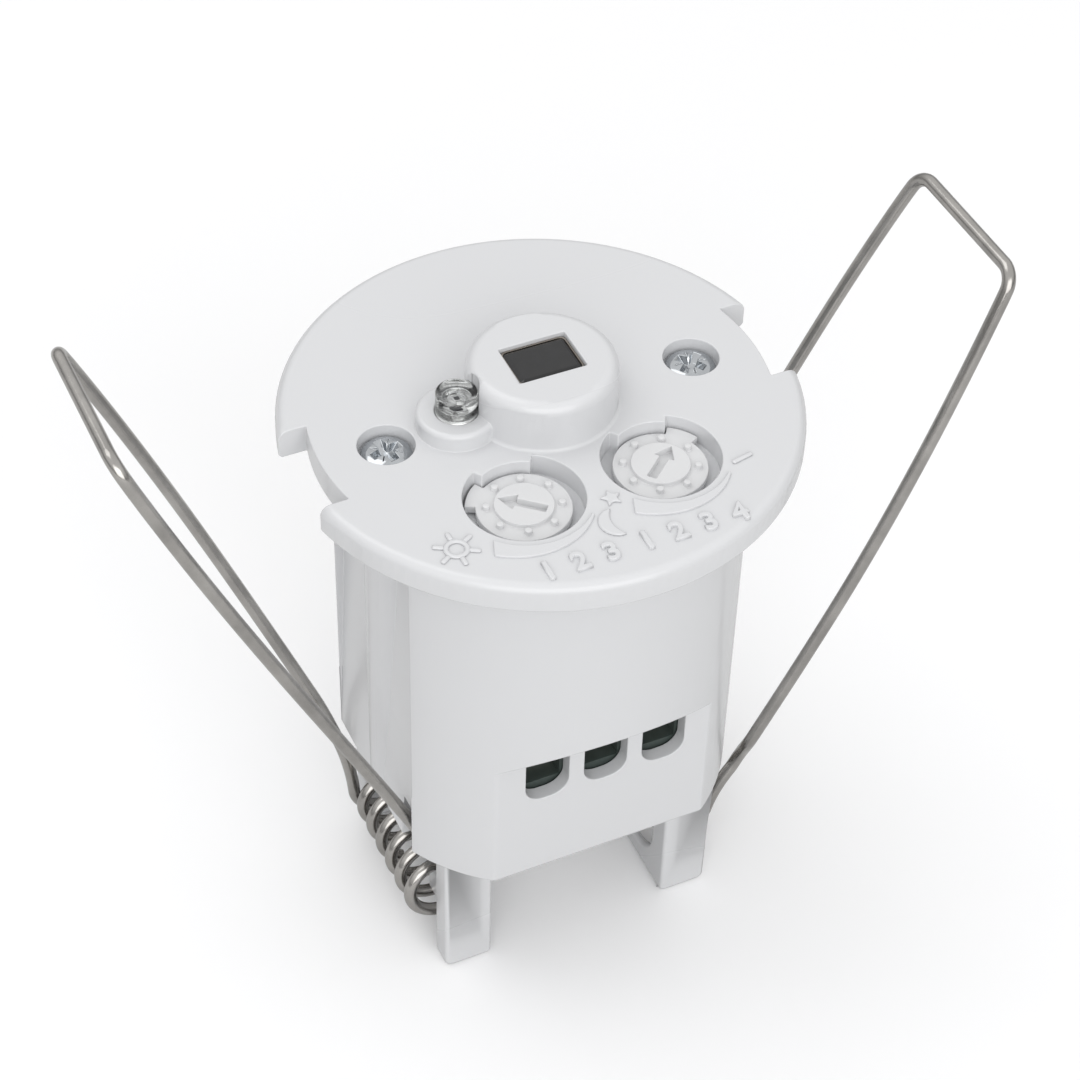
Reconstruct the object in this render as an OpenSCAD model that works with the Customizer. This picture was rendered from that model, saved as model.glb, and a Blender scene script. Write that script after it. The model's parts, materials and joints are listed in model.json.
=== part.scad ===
// Flush ceiling motion sensor, shown standing on its feet with the sensing face up.
// Origin: centre of the sensing axis, at the underside of the feet. +Z runs up through
// the faceplate, X runs through the two springs and -Y faces the wire entries.

/* [Faceplate] */
// Diameter of the faceplate
plate_d = 60; // [58:0.5:66]
// Thickness of the faceplate rim
plate_t = 3.8; // [3.6:0.1:5]
// Rounding of the upper edge
plate_round = 1.3; // [0.6:0.1:1.8]
// Chamfer of the lower edge
plate_chamfer = 0.4; // [0.2:0.1:0.8]
// Thickness of the web inside the housing
plate_web = 2; // [1.6:0.1:2.4]
// Depth of the rebate that the housing's rim sits in
rim_rebate = 0.3; // [0.2:0.05:0.5]
// Width of each cover notch in the rim
notch_w = 12.8; // [10:0.2:15]
// Depth of each cover notch in from the rim
notch_depth = 3.3; // [2:0.1:3.5]

/* [Sensor boss] */
// Diameter of the boss over the motion sensor
boss_d = 17.3; // [16.5:0.1:18]
// Height of the boss above the faceplate
boss_h = 6.35; // [6:0.05:8]
// Wall of the boss
boss_wall = 1.4; // [1.2:0.1:1.6]
// Rounding of the boss rim
boss_round = 1.5; // [0.6:0.1:2]
// Fillet at the foot of the boss
boss_fillet = 0.45; // [0.3:0.05:0.5]
// Width of the window along X
window_w = 8.1; // [7.4:0.1:8.4]
// Width of the window along Y
window_l = 6.2; // [5.8:0.1:6.4]

/* [Light sensor] */
// Diameter of the clear light sensor
lamp_d = 4.8; // [4.4:0.1:5]
// Distance of the light sensor from the axis
lamp_x = 10.4; // [10.3:0.1:10.8]
// Height of the light sensor above the faceplate
lamp_rise = 4.8; // [3:0.1:6]
// Diameter of the collar round the light sensor
collar_d = 9.3; // [8.5:0.1:10]
// Height of that collar above the faceplate
collar_h = 2.2; // [1.5:0.1:3]

/* [Dials] */
// Diameter of a dial
dial_d = 10.7; // [10:0.1:11]
// Distance of each dial from the middle plane
dial_x = 8.3; // [8.2:0.1:8.6]
// Distance of each dial in front of the axis
dial_y = 13.7; // [13.4:0.1:14]
// How far a dial's face lies below the faceplate
dial_sink = 1; // [0.8:0.1:1.2]
// Depth of the pocket that a dial turns in
pocket_depth = 2.8; // [2.6:0.1:3]
// Radial room for the dial's pointer tab
tab_room = 1.45; // [1.2:0.05:1.5]
// Width of the pointer tab, in degrees
tab_angle = 34; // [20:1:40]
// Travel of a dial, in degrees
dial_travel = 261; // [200:1:262]
// Clearance round a turning dial
dial_gap = 0.3; // [0.2:0.05:0.4]

/* [Face screws] */
// Distance of each face screw in from the housing's side
screw_in = 5.4; // [5.2:0.1:5.7]
// Diameter of a screw head
head_d = 5.6; // [5.2:0.1:6]
// Thread diameter of a face screw
screw_d = 2.6; // [2.4:0.1:2.8]
// Length of a face screw under its head
screw_l = 11; // [8:0.5:14]
// Depth of the head's recess in the faceplate
head_recess = 2; // [1.9:0.1:2.2]

/* [Housing] */
// Diameter of the housing
body_d = 48.6; // [48.2:0.1:50]
// Height of the housing between feet and faceplate
body_h = 53; // [52.6:0.1:60]
// Wall of the housing
wall = 1.9; // [1.7:0.05:2.1]
// Depth of the flat front, in from the round side
front_in = 4.4; // [3.9:0.1:4.6]
// Height of the flat front above the housing's underside
front_h = 19.85; // [19.5:0.05:21]
// Slope of the roof over the flat front, in degrees
roof_angle = 45; // [35:1:50]
// Depth of a side recess under the faceplate, in from the round side
recess_in = 5.2; // [4.9:0.1:5.4]
// Outward lean of the side recess, in degrees
recess_lean = 2.4; // [2:0.1:2.8]

/* [Wire entries] */
// Width of a wire entry
entry_w = 5.6; // [5.2:0.1:5.8]
// Distance between wire entries
entry_pitch = 7.6; // [7.5:0.05:7.7]
// Height of an entry's round centre above the housing's underside
entry_h = 15.6; // [15.4:0.1:15.9]
// Sideways shift of the row of entries
entry_shift = 0.3; // [0:0.05:0.4]
// Rounding of an entry's lower corners
entry_round = 2.3; // [1.5:0.1:2.6]

/* [Feet] */
// Height of the feet
foot_h = 20.8; // [20:0.1:24]
// Distance between the left and the right feet
foot_gap = 24; // [23:0.1:24.4]
// Width of a foot along X
foot_w = 6.3; // [6.2:0.1:6.8]
// Thickness of a foot along Y
foot_t = 3.5; // [3:0.1:3.6]
// Distance of the outer face of the feet from the middle, along Y
foot_y = 14.95; // [14.8:0.05:15.4]
// Width of the rail that joins a front foot and a back foot
rail_w = 1.2; // [1:0.1:1.4]
// Height of that rail
rail_h = 2.6; // [1.8:0.1:3]
// Radius of the rail's rise to the feet
rail_rise = 5; // [3:0.5:6]

/* [Springs] */
// Wire diameter of a spring
wire_d = 1.6; // [1.4:0.05:1.7]
// Mean diameter of a coil
coil_d = 6.9; // [6.6:0.1:7.4]
// Distance of a coil's axis from the middle
coil_x = 17; // [16.9:0.05:17.1]
// Height of a coil's axis above the feet's underside
coil_z = 8.4; // [8:0.1:9.4]
// Whole turns of a coil
coil_turns = 6; // [5:1:7]
// Length from a coil's axis to the end of its bail
bail_l = 89; // [82:0.5:97]
// Lean of a bail from upright at rest, in degrees
bail_lean = 22.4; // [22:0.2:26]
// Half width of a bail at its end
bail_half = 10.2; // [9.8:0.1:10.8]
// Sideways set of a bail's end
bail_set = 4.8; // [3:0.1:6]
// Inside bow of a bail's arms
bail_bow = 0.5; // [0:0.1:1]
// How far the outer arm is drawn in above the coil
arm_draw = 2.6; // [1.5:0.1:3]
// Bend radius at a bail's corners
bend_r = 2.2; // [1.6:0.1:4]

/* [Inner parts] */
// Thickness of the circuit boards
board_t = 1.6; // [1.2:0.1:1.8]
// Height of a dial's potentiometer
pot_h = 4.4; // [4:0.1:4.8]
// Height of the terminal block
block_h = 14; // [13:0.1:14.5]
// Depth of the terminal block
block_l = 10; // [9:0.1:10.6]
// Height of the relay
relay_h = 15.6; // [12:0.1:18]
// Clearance between pieces that are pushed together
fit_gap = 0.2; // [0.1:0.05:0.3]

/* [Hidden] */
$fn = 96;
lap = 0.3;
small = 32;

// Heights of the main levels
body_bottom = foot_h;
floor_top = body_bottom + wall;
body_top = body_bottom + body_h;
rim_top = body_top + rim_rebate;
plate_top = body_top + plate_t;
web_under = plate_top - plate_web;
body_r = body_d / 2;
bore_r = body_r - wall;
core_r = bore_r - 0.9;
rim_gap = 0.15;
front_y = body_r - front_in;
recess_x = body_r - recess_in;
screw_x = body_r - screw_in;

// Dials, their pockets and their stems
dial_r = dial_d / 2;
pocket_r = dial_r + tab_room;
tab_r = pocket_r - dial_gap;
pocket_z = plate_top - pocket_depth;
dial_top = plate_top - dial_sink;
dial_bottom = pocket_z + dial_gap;
ring_top = dial_top - 0.5;
stem_r = 1.95;
stem_gap = 0.05;
stop_mid = 90;
stop_margin = 1.4;
stop_half = (360 - dial_travel - tab_angle) / 2 - stop_margin;
tab_rest = stop_mid + (360 - dial_travel) / 2;

// Screws
head_r = head_d / 2;
head_h = 1.7;
head_seat = plate_top - head_recess;
screw_r = screw_d / 2;

// Light sensor
lamp_r = lamp_d / 2;
lamp_flange = 0.25;
lamp_flange_h = 0.8;
lamp_base = plate_top - 1.6;
collar_round = 0.6;

// Motion sensor under the boss
boss_r = boss_d / 2;
boss_in = boss_r - boss_wall;
boss_top = plate_top + boss_h;
boss_under = boss_top - boss_wall;
can_w = 9.6;
can_l = 7.6;
can_h = 6.3;
can_top = boss_under - fit_gap;
glass_w = 7.6;
glass_l = 5.7;
glass_t = 0.8;
glass_sink = 0.4;

// Circuit boards
control_r = bore_r - 0.5;
power_r = control_r - 1.3;
entry_z = body_bottom + entry_h;
block_top = entry_z + 5.1;
power_z = block_top;
power_top = power_z + board_t;
pot_top = body_top - 0.5;
control_top = pot_top - pot_h;
control_z = control_top - board_t;
pot_wall = 1.6;
pot_r = stem_r + pot_wall;
lead_pitch = 2.54;
lead_r = 0.25;
lead_hole_r = 0.3;
pin_r = 0.32;

// Side recess, worked out as a leaning plane
recess_tan = tan(recess_lean);
recess_gap = 0.5;
lug_in = foot_y - foot_t;
coil_end = lug_in - dial_gap - wire_d / 2;
recess_half = coil_end + wire_d / 2 + recess_gap;
slot_in = coil_end - wire_d / 2 - 1;
keel_r = 6;
keel_x = screw_x + screw_r + 1.4 - keel_r;
foot_x = foot_gap / 2;

// Spring geometry in the plane across a coil
wire_r = wire_d / 2;
coil_r = coil_d / 2;
spigot_r = coil_r - wire_r - 0.3;
tangent = acos(coil_r / bail_l);
tip_angle = 90 - bail_lean;
draw_part = 0.2;
draw_turn = atan(2 * arm_draw / (draw_part * bail_l));
outer_foot = tip_angle - tangent + draw_turn;
inner_foot = tip_angle + tangent;
wind = 360 * (coil_turns + 1) + outer_foot - inner_foot;
stop_gap = 0.3;
wire_sides = 8;
turn_steps = 18;
arm_steps = 14;
bend_steps = 4;
end_cut = 30;
straight_part = 0.13;
inner_swell = 1.4;
outer_swell = 3.65;
joggle_from = 0.09;
joggle_part = 0.09;

// Points of an arc about c, from angle a0 to angle a1
function arc(c, r, a0, a1, n = 6) =
    [for (i = [0:n]) let (a = a0 + (a1 - a0) * i / n) c + r * [cos(a), sin(a)]];

function unit(v) = v / norm(v);

module box(low, high) {
    translate(low) cube(high - low);
}

module both_sides() {
    for (s = [0, 1]) mirror([s, 0, 0]) children();
}

// Rectangle with round corners, centred, extruded up from z = 0
module round_block(w, l, h, r) {
    corners = [[w / 2 - r, l / 2 - r, 0], [r - w / 2, l / 2 - r, 90],
               [r - w / 2, r - l / 2, 180], [w / 2 - r, r - l / 2, 270]];
    linear_extrude(h)
        polygon([for (c = corners) each arc([c[0], c[1]], r, c[2], c[2] + 90, 4)]);
}

// Sector of a circle with its tip on the axis
module sector(r, from, to, h) {
    linear_extrude(h) polygon(concat([[0, 0]], arc([0, 0], r, from, to, 10)));
}

// Distance of the side recess from the axis at a height
function recess_at(z) = recess_x + (body_top - z) * recess_tan;

// Line of the stop that a bail's inner arm rests beside, below the side recess
arm_lean = bail_lean + 90 - tangent;
foot_point = [coil_x, coil_z] + coil_r * [cos(inner_foot), sin(inner_foot)];
function stop_x(z) =
    foot_point[0] + (z - foot_point[1]) * tan(arm_lean) - (wire_r + stop_gap) / cos(arm_lean);
function stop_z(x) = foot_point[1] + (x - stop_x(foot_point[1])) / tan(arm_lean);

// Everything outside the side recess plane, moved inwards by a thickness
module recess_slab(inset, half) {
    low = body_bottom - 1;
    high = rim_top + 1;
    out = body_r + 5;
    linear_extrude_y(-half, half)
        polygon([[recess_at(low) - inset, low], [recess_at(high) - inset, high], [out, high], [out, low]]);
}

// Slot below a side recess that the bail's inner arm lies in, grown by a thickness
module arm_slot(inset) {
    low = body_bottom - 1;
    out = body_r + 5;
    lean_inset = inset / cos(arm_lean);
    linear_extrude_y(slot_in - inset, lug_in + inset)
        polygon([[stop_x(low) - lean_inset, low], [out, stop_z(out + lean_inset)], [out, low]]);
}

// Extrudes an XZ outline along Y from y0 to y1
module linear_extrude_y(y0, y1) {
    translate([0, y1, 0]) rotate([90, 0, 0]) linear_extrude(y1 - y0) children();
}

// Extrudes a YZ outline along X from x0 to x1
module linear_extrude_x(x0, x1) {
    translate([x0, 0, 0]) rotate([90, 0, 90]) linear_extrude(x1 - x0) children();
}

// Everything in front of the flat front and under its roof, moved inwards
module front_slab(inset) {
    top = body_bottom + front_h + inset * (1 - sin(roof_angle)) / cos(roof_angle);
    out = body_r + 5;
    rise = (out - front_y + inset) * tan(roof_angle);
    linear_extrude_x(-body_r - 1, body_r + 1)
        polygon([[inset - front_y, body_bottom - 1], [inset - front_y, top],
                 [-out, top + rise], [-out, body_bottom - 1]]);
}

// Outline of a wire entry: round corners below, flat on top
module entry_outline() {
    r = entry_w / 2;
    c = r - entry_round;
    top = front_h - entry_h - 0.15;
    polygon(concat(arc([-c, -c], entry_round, 180, 270, 8), arc([c, -c], entry_round, 270, 360, 8),
                   [[r, top], [-r, top]]));
}

module at_entries() {
    for (k = [-1:1]) translate([entry_shift + k * entry_pitch, 0, 0]) children();
}

// Faceplate with the sensor boss, dial pockets and cover notches
module faceplate() {
    r = plate_d / 2;
    color([0.90, 0.90, 0.91])
    difference() {
        union() {
            rotate_extrude($fn = 180)
                polygon(concat([[0, rim_top], [body_r + rim_gap, rim_top], [body_r + rim_gap, body_top],
                                [r - plate_chamfer, body_top], [r, body_top + plate_chamfer]],
                               arc([r - plate_round, plate_top - plate_round], plate_round, 0, 90),
                               boss_outline()));
            translate([-lamp_x, 0, 0]) lamp_collar();
            register_disc();
        }
        plate_core();
        translate([0, 0, body_top - 4]) cylinder(r = boss_in, h = boss_under - body_top + 4);
        box([-window_w / 2, -window_l / 2, boss_under - 1], [window_w / 2, window_l / 2, boss_top + 1]);
        translate([-lamp_x, 0, body_top - 1]) cylinder(r = lamp_r + fit_gap / 2, h = 12, $fn = small * 2);
        translate([-lamp_x, 0, body_top - 1])
            cylinder(r = lamp_r + lamp_flange + 0.1, h = lamp_base + lamp_flange_h + 0.1 - body_top + 1,
                     $fn = small * 2);
        both_sides() {
            translate([dial_x, -dial_y, 0]) dial_pocket();
            translate([screw_x, 0, body_top - 1]) cylinder(r = screw_r + fit_gap, h = 10, $fn = small);
            translate([screw_x, 0, head_seat]) cylinder(r = head_r + 0.45, h = 10, $fn = small * 2);
            cover_notch();
        }
    }
}

// Notch in the rim for a cover's lug, round on its inner side
module cover_notch() {
    r = plate_d / 2;
    difference() {
        box([0, -notch_w / 2, body_top - 1], [r + 1, notch_w / 2, plate_top + 1]);
        translate([0, 0, body_top - 2]) cylinder(r = r - notch_depth, h = plate_t + 4, $fn = 180);
    }
}

// Outline of the boss over the motion sensor, from its fillet to the axis
function boss_outline() = concat(
    arc([boss_r + boss_fillet, plate_top + boss_fillet], boss_fillet, 270, 180, 4),
    arc([boss_r - boss_round, boss_top - boss_round], boss_round, 0, 90), [[0, boss_top]]);

// Collar round the light sensor, from inside the plate up
module lamp_collar() {
    r = collar_d / 2;
    top = plate_top + collar_h;
    rotate_extrude()
        polygon(concat([[0, web_under + 0.5], [r, web_under + 0.5]],
                       arc([r - collar_round, top - collar_round], collar_round, 0, 90, 4), [[0, top]]));
}

// Hollow under the faceplate's web, inside the housing
module plate_core() {
    difference() {
        translate([0, 0, body_top - 5]) cylinder(r = core_r, h = web_under - body_top + 5);
        both_sides() {
            translate([dial_x, -dial_y, rim_top]) cylinder(r = pocket_r + 1, h = 5);
            translate([screw_x, 0, rim_top]) cylinder(r = head_r + 1.6, h = 5);
        }
        translate([0, 0, rim_top]) cylinder(r = boss_in + 1.2, h = 5);
        translate([-lamp_x, 0, rim_top]) cylinder(r = collar_d / 2, h = 5);
    }
}

// Disc under the faceplate, which the core leaves as two arcs that centre it in the housing
module register_disc() {
    depth = 1.8;
    difference() {
        translate([0, 0, body_top - depth]) cylinder(r = bore_r - fit_gap, h = depth + rim_rebate + 0.5);
        box([-body_r, -recess_half - wall - 0.5, body_top - depth - 1],
            [body_r, recess_half + wall + 0.5, rim_top + 1]);
        both_sides() translate([dial_x, -dial_y, body_top - depth - 1])
            cylinder(r = pot_r + dial_gap, h = depth + 4, $fn = small * 2);
    }
}

// Pocket for a dial, with the stop that limits the tab's travel
module dial_pocket() {
    translate([0, 0, pocket_z]) difference() {
        cylinder(r = pocket_r, h = 10);
        difference() {
            rotate(stop_mid) sector(pocket_r + 1, -stop_half, stop_half, pocket_depth);
            translate([0, 0, -1]) cylinder(r = dial_r + dial_gap, h = 12);
        }
    }
    translate([0, 0, body_top - 1]) cylinder(r = stem_r + dial_gap, h = plate_t, $fn = small);
}

// Housing: a cup with a flat front, side recesses for the springs, and four feet
module housing() {
    color([0.84, 0.85, 0.86])
    difference() {
        union() {
            difference() {
                translate([0, 0, body_bottom]) cylinder(r = body_r, h = rim_top - body_bottom, $fn = 180);
                front_slab(0);
                both_sides() recess_slab(0, recess_half);
                for (a = [0, 180]) rotate(a) arm_slot(0);
            }
            both_sides() {
                screw_keel();
                foot_pair();
            }
        }
        cavity();
        both_sides() translate([screw_x, 0, body_top - screw_l - 1])
            cylinder(r = screw_r + 0.02, h = screw_l + 2, $fn = small);
        at_entries() {
            translate([0, wall - front_y + 1, entry_z]) rotate([90, 0, 0])
                linear_extrude(wall + 6) entry_outline();
            translate([0, terminal_y, body_bottom - 1]) cylinder(r = driver_r, h = wall + 2, $fn = small);
        }
    }
}

// Solid half-round rib in a side recess that takes a face screw
module screw_keel() {
    h = rim_top - body_bottom;
    translate([0, 0, body_bottom]) intersection() {
        translate([keel_x, 0, 0]) cylinder(r = keel_r, h = h);
        cylinder(r = body_r, h = h, $fn = 180);
        box([recess_x - wall, -keel_r, 0], [body_r, keel_r, h]);
    }
}

// Inside of the housing, with the ledges that carry the two boards
module cavity() {
    difference() {
        translate([0, 0, floor_top]) cylinder(r = bore_r, h = body_h, $fn = 180);
        front_slab(wall);
        both_sides() {
            recess_slab(wall, recess_half + wall);
            for (a = [52, -40]) rotate(a) {
                box([power_r - 1.2, -0.8, floor_top - 1], [bore_r + 1, 0.8, power_z]);
                box([control_r - 1, -0.8, floor_top - 1], [bore_r + 1, 0.8, control_z]);
            }
        }
        for (a = [0, 180]) rotate(a) arm_slot(wall);
    }
}

// One front foot, one back foot, the rail between them and the spring's spigots
module foot_pair() {
    x1 = foot_x + foot_w;
    for (s = [-1, 1]) {
        linear_extrude_y(min(s * lug_in, s * foot_y), max(s * lug_in, s * foot_y))
            polygon(concat([[foot_x - 1.5, body_bottom + lap]],
                           arc([foot_x - 1.5, body_bottom - 1.5], 1.5, 90, 0, 4),
                           arc([foot_x + 0.7, 0.7], 0.7, 180, 270, 4),
                           arc([x1 - 0.9, 0.9], 0.9, 270, 360, 4),
                           [[x1, body_bottom + lap]]));
        intersection() {
            translate([coil_x, s * lug_in, coil_z]) rotate([s * 90, 0, 0])
                cylinder(r = spigot_r, h = 5, $fn = small * 2);
            box([coil_x - spigot_r - 1, -foot_y, 0], [coil_x, foot_y, body_bottom]);
        }
    }
    foot_rail();
}

// Rail between a front foot and a back foot, rising in a round to both
module foot_rail() {
    end = foot_y - 1;
    c = lug_in - rail_rise;
    top = rail_h + rail_rise;
    linear_extrude_x(foot_x, foot_x + rail_w)
        polygon(concat([[end, 0], [end, top]], arc([c, top], rail_rise, 0, -90, 8),
                       arc([-c, top], rail_rise, 270, 180, 8), [[-end, top], [-end, 0]]));
}

// Metal can of the motion sensor, with its three leads
module pir_sensor() {
    base = can_top - can_h;
    color([0.62, 0.62, 0.60])
    difference() {
        union() {
            translate([0, 0, base]) round_block(can_w, can_l, can_h, 1);
            translate([0, 0, base]) round_block(can_w + 1, can_l + 1, 0.6, 1.2);
            for (x = [-lead_pitch, 0, lead_pitch]) translate([x, 0, control_z - 1])
                cylinder(r = lead_r, h = base - control_z + 1 + lap, $fn = 16);
        }
        translate([0, 0, can_top - glass_sink - glass_t]) round_block(glass_w, glass_l, 5, 0.8);
    }
}

// Dark filter window in the top of the can
module filter_window() {
    color([0.12, 0.12, 0.13])
    translate([0, 0, can_top - glass_sink - glass_t])
        round_block(glass_w - 0.04, glass_l - 0.04, glass_t, 0.78);
}

// Plastic spacer between the control board and the motion sensor
module sensor_spacer() {
    base = can_top - can_h;
    color([0.2, 0.2, 0.21])
    difference() {
        translate([0, 0, control_top]) round_block(can_w - 1, can_l - 1, base - control_top, 0.8);
        for (x = [-lead_pitch, 0, lead_pitch]) translate([x, 0, control_top - 1])
            cylinder(r = lead_hole_r, h = base, $fn = 16);
    }
}

// Clear light sensor with a flange and two leads
module light_sensor() {
    top = plate_top + lamp_rise;
    color([0.8, 0.85, 0.85, 0.5])
    translate([-lamp_x, 0, 0]) {
        translate([0, 0, lamp_base]) rotate_extrude($fn = small * 2)
            polygon(concat([[0, 0], [lamp_r + lamp_flange, 0], [lamp_r + lamp_flange, lamp_flange_h],
                            [lamp_r, lamp_flange_h]],
                           arc([lamp_r - 0.4, top - lamp_base - 0.4], 0.4, 0, 90, 4),
                           [[0, top - lamp_base]]));
        for (y = [-lead_pitch / 2, lead_pitch / 2]) translate([0, y, control_z - 1])
            cylinder(r = lead_r, h = lamp_base - control_z + 1 + lap, $fn = 16);
    }
}

// Dial: pointer tab, ring of grip pegs, raised middle with an arrow-shaped slot, and a stem
module dial(tab_at) {
    mid_r = 3.35;
    peg_r = 0.42;
    peg_at = 4.2;
    peg_h = 0.6;
    slot_depth = 0.9;
    color([0.92, 0.92, 0.93])
    union() {
        difference() {
            translate([0, 0, dial_bottom]) union() {
                cylinder(r = dial_r, h = ring_top - dial_bottom);
                cylinder(r = mid_r, h = dial_top - dial_bottom);
                rotate(tab_at) sector(tab_r, -tab_angle / 2, tab_angle / 2, ring_top - dial_bottom);
            }
            rotate(tab_at) translate([0, 0, dial_top - slot_depth]) linear_extrude(5) arrow_outline();
        }
        for (k = [0:7]) rotate(tab_at + 22.5 + k * 45) translate([peg_at, 0, ring_top - lap])
            cylinder(r = peg_r, h = lap + peg_h, $fn = 16);
        translate([0, 0, control_top + 0.5])
            cylinder(r = stem_r, h = dial_bottom - control_top, $fn = small * 2);
    }
}

// Arrow-shaped slot, pointing along +X
module arrow_outline() {
    tail = 2.6;
    shaft = 0.55;
    neck = 1;
    head = 1.2;
    polygon([[-tail, -shaft], [neck, -shaft], [neck, -head], [3.05, 0],
             [neck, head], [neck, shaft], [-tail, shaft]]);
}

module lux_dial() {
    translate([-dial_x, -dial_y, 0]) dial(tab_rest);
}

module time_dial() {
    translate([dial_x, -dial_y, 0]) dial(2 * stop_mid - tab_rest);
}

// Potentiometer under a dial, with a socket for the dial's stem
module potentiometer(side) {
    color([0.15, 0.3, 0.6])
    translate([side * dial_x, -dial_y, control_top]) difference() {
        cylinder(r = pot_r, h = pot_h, $fn = small * 2);
        translate([0, 0, 0.4]) cylinder(r = stem_r + stem_gap, h = pot_h, $fn = small * 2);
    }
}

module lux_potentiometer() {
    potentiometer(-1);
}

module time_potentiometer() {
    potentiometer(1);
}

// Pan-head screw with a cross slot, its head's underside at z = 0
module pan_screw(r, head, head_t, length, slot) {
    difference() {
        union() {
            rotate_extrude($fn = small * 2)
                polygon(concat([[0, 0], [head, 0]], arc([head - 0.9, head_t - 0.9], 0.9, 0, 90, 4),
                               [[0, head_t]]));
            translate([0, 0, -length]) cylinder(r = r, h = length + lap, $fn = small);
        }
        for (a = [0, 90]) rotate(a)
            translate([-slot / 2, -0.35, head_t - 0.9]) cube([slot, 0.7, 2]);
    }
}

module face_screws() {
    color([0.75, 0.76, 0.78])
    both_sides() translate([screw_x, 0, head_seat])
        pan_screw(screw_r, head_r, head_h, screw_l, head_d * 0.6);
}

// Round board with flats beside the spring recesses
module board(r, z) {
    flat_x = recess_at(z + board_t) - wall - 0.4;
    difference() {
        translate([0, 0, z]) cylinder(r = r, h = board_t);
        both_sides() box([flat_x, -recess_half - wall - 0.5, z - 1],
                         [r + 1, recess_half + wall + 0.5, z + board_t + 1]);
    }
}

module control_board() {
    color([0.12, 0.4, 0.25])
    difference() {
        board(control_r, control_z);
        for (x = [-lead_pitch, 0, lead_pitch]) translate([x, 0, control_z - 1])
            cylinder(r = lead_hole_r, h = 5, $fn = 16);
        for (y = [-lead_pitch / 2, lead_pitch / 2]) translate([-lamp_x, y, control_z - 1])
            cylinder(r = lead_hole_r, h = 5, $fn = 16);
        at_header_pins() translate([0, 0, control_z - 1]) cylinder(r = pin_r + 0.04, h = 5, $fn = 16);
    }
}

module power_board() {
    front = front_y - wall - fit_gap;
    color([0.12, 0.4, 0.25])
    difference() {
        board(power_r, power_z);
        box([-power_r, -power_r - 1, power_z - 1], [power_r, -front, power_top + 1]);
        at_header_pins() translate([0, 0, power_z - 1]) cylinder(r = pin_r + 0.04, h = 5, $fn = 16);
    }
}

// Terminal block under the power board, behind the wire entries
terminal_front = wall - front_y + fit_gap;
terminal_y = terminal_front + block_l / 2;
block_bottom = block_top - block_h;
block_w = 3 * entry_pitch + 1.6;
port_w = entry_w - 0.6;
port_z = entry_z + 0.7;
port_floor = port_z - port_w / 2;
clamp_w = port_w - 0.3;
clamp_l = 0.56 * block_l;
clamp_wall = 0.6;
clamp_hole = clamp_w - 2 * clamp_wall;
term_r = 0.3 * port_w;
term_head = 1.43 * term_r;
driver_r = term_head + 0.15;

module terminal_block() {
    color([0.2, 0.28, 0.25])
    difference() {
        box([entry_shift - block_w / 2, terminal_front, block_bottom],
            [entry_shift + block_w / 2, terminal_front + block_l, block_top]);
        at_entries() {
            box([-port_w / 2, terminal_front - 1, port_floor],
                [port_w / 2, terminal_front + block_l - 1.2, port_floor + port_w]);
            translate([0, terminal_y, block_bottom - 1])
                cylinder(r = term_head + stem_gap, h = port_floor + lap - block_bottom + 1, $fn = small);
        }
    }
}

// Metal clamp in one port of the terminal block, resting on the port's floor
module clamp(k) {
    color([0.8, 0.78, 0.7])
    translate([entry_shift + k * entry_pitch, terminal_y, port_floor]) difference() {
        box([-clamp_w / 2, -clamp_l / 2, 0], [clamp_w / 2, clamp_l / 2, clamp_w]);
        box([-clamp_hole / 2, -clamp_l, clamp_wall], [clamp_hole / 2, clamp_l, clamp_wall + clamp_hole]);
        translate([0, 0, -1]) cylinder(r = term_r + 0.02, h = 1 + clamp_wall + lap, $fn = small);
    }
}

module left_clamp() {
    clamp(-1);
}

module middle_clamp() {
    clamp(0);
}

module right_clamp() {
    clamp(1);
}

module terminal_screws() {
    z = block_bottom + block_h / 7;
    color([0.75, 0.76, 0.78])
    at_entries() translate([0, terminal_y, z]) mirror([0, 0, 1])
        pan_screw(term_r, term_head, term_r + 0.1, port_floor + clamp_wall - z, 1.87 * term_r);
}

// Parts on the power board, placed and sized as fractions of the bore
module relay() {
    color([0.15, 0.15, 0.17])
    translate([-0.067 * bore_r, 0.415 * bore_r, power_top])
        round_block(0.85 * bore_r, 0.67 * bore_r, relay_h, 0.8);
}

module smoothing_capacitor() {
    r = 0.223 * bore_r;
    h = relay_h * 5 / 6;
    color([0.15, 0.2, 0.35])
    translate([0.455 * bore_r, -0.357 * bore_r, power_top]) rotate_extrude($fn = small * 2)
        polygon(concat([[0, 0], [r - 0.4, 0], [r, 0.4], [r, 1.2], [r - 0.3, 1.5], [r, 1.8]],
                       arc([r - 0.5, h - 0.5], 0.5, 0, 90, 3), [[0, h]]));
}

module dropper_capacitor() {
    color([0.7, 0.6, 0.2])
    translate([-0.245 * bore_r, -0.424 * bore_r, power_top])
        round_block(0.58 * bore_r, 0.29 * bore_r, 0.77 * relay_h, 0.8);
}

module varistor() {
    r = 0.179 * bore_r;
    color([0.2, 0.35, 0.6])
    translate([-0.357 * bore_r, -0.116 * bore_r, power_top + r]) rotate([90, 0, 0])
        cylinder(r = r, h = 0.75 * r, center = true, $fn = small);
}

module rectifier() {
    color([0.12, 0.12, 0.12])
    translate([0.054 * bore_r, -0.107 * bore_r, power_top])
        round_block(0.3125 * bore_r, 0.295 * bore_r, 0.134 * bore_r, 0.4);
}

// Pins that join the two boards
header_x = 0.5625 * bore_r;
header_y = 0.357 * bore_r;
header_w = 2.5;

module at_header_pins() {
    for (k = [-2:2]) translate([header_x, header_y + k * lead_pitch, 0]) children();
}

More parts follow.
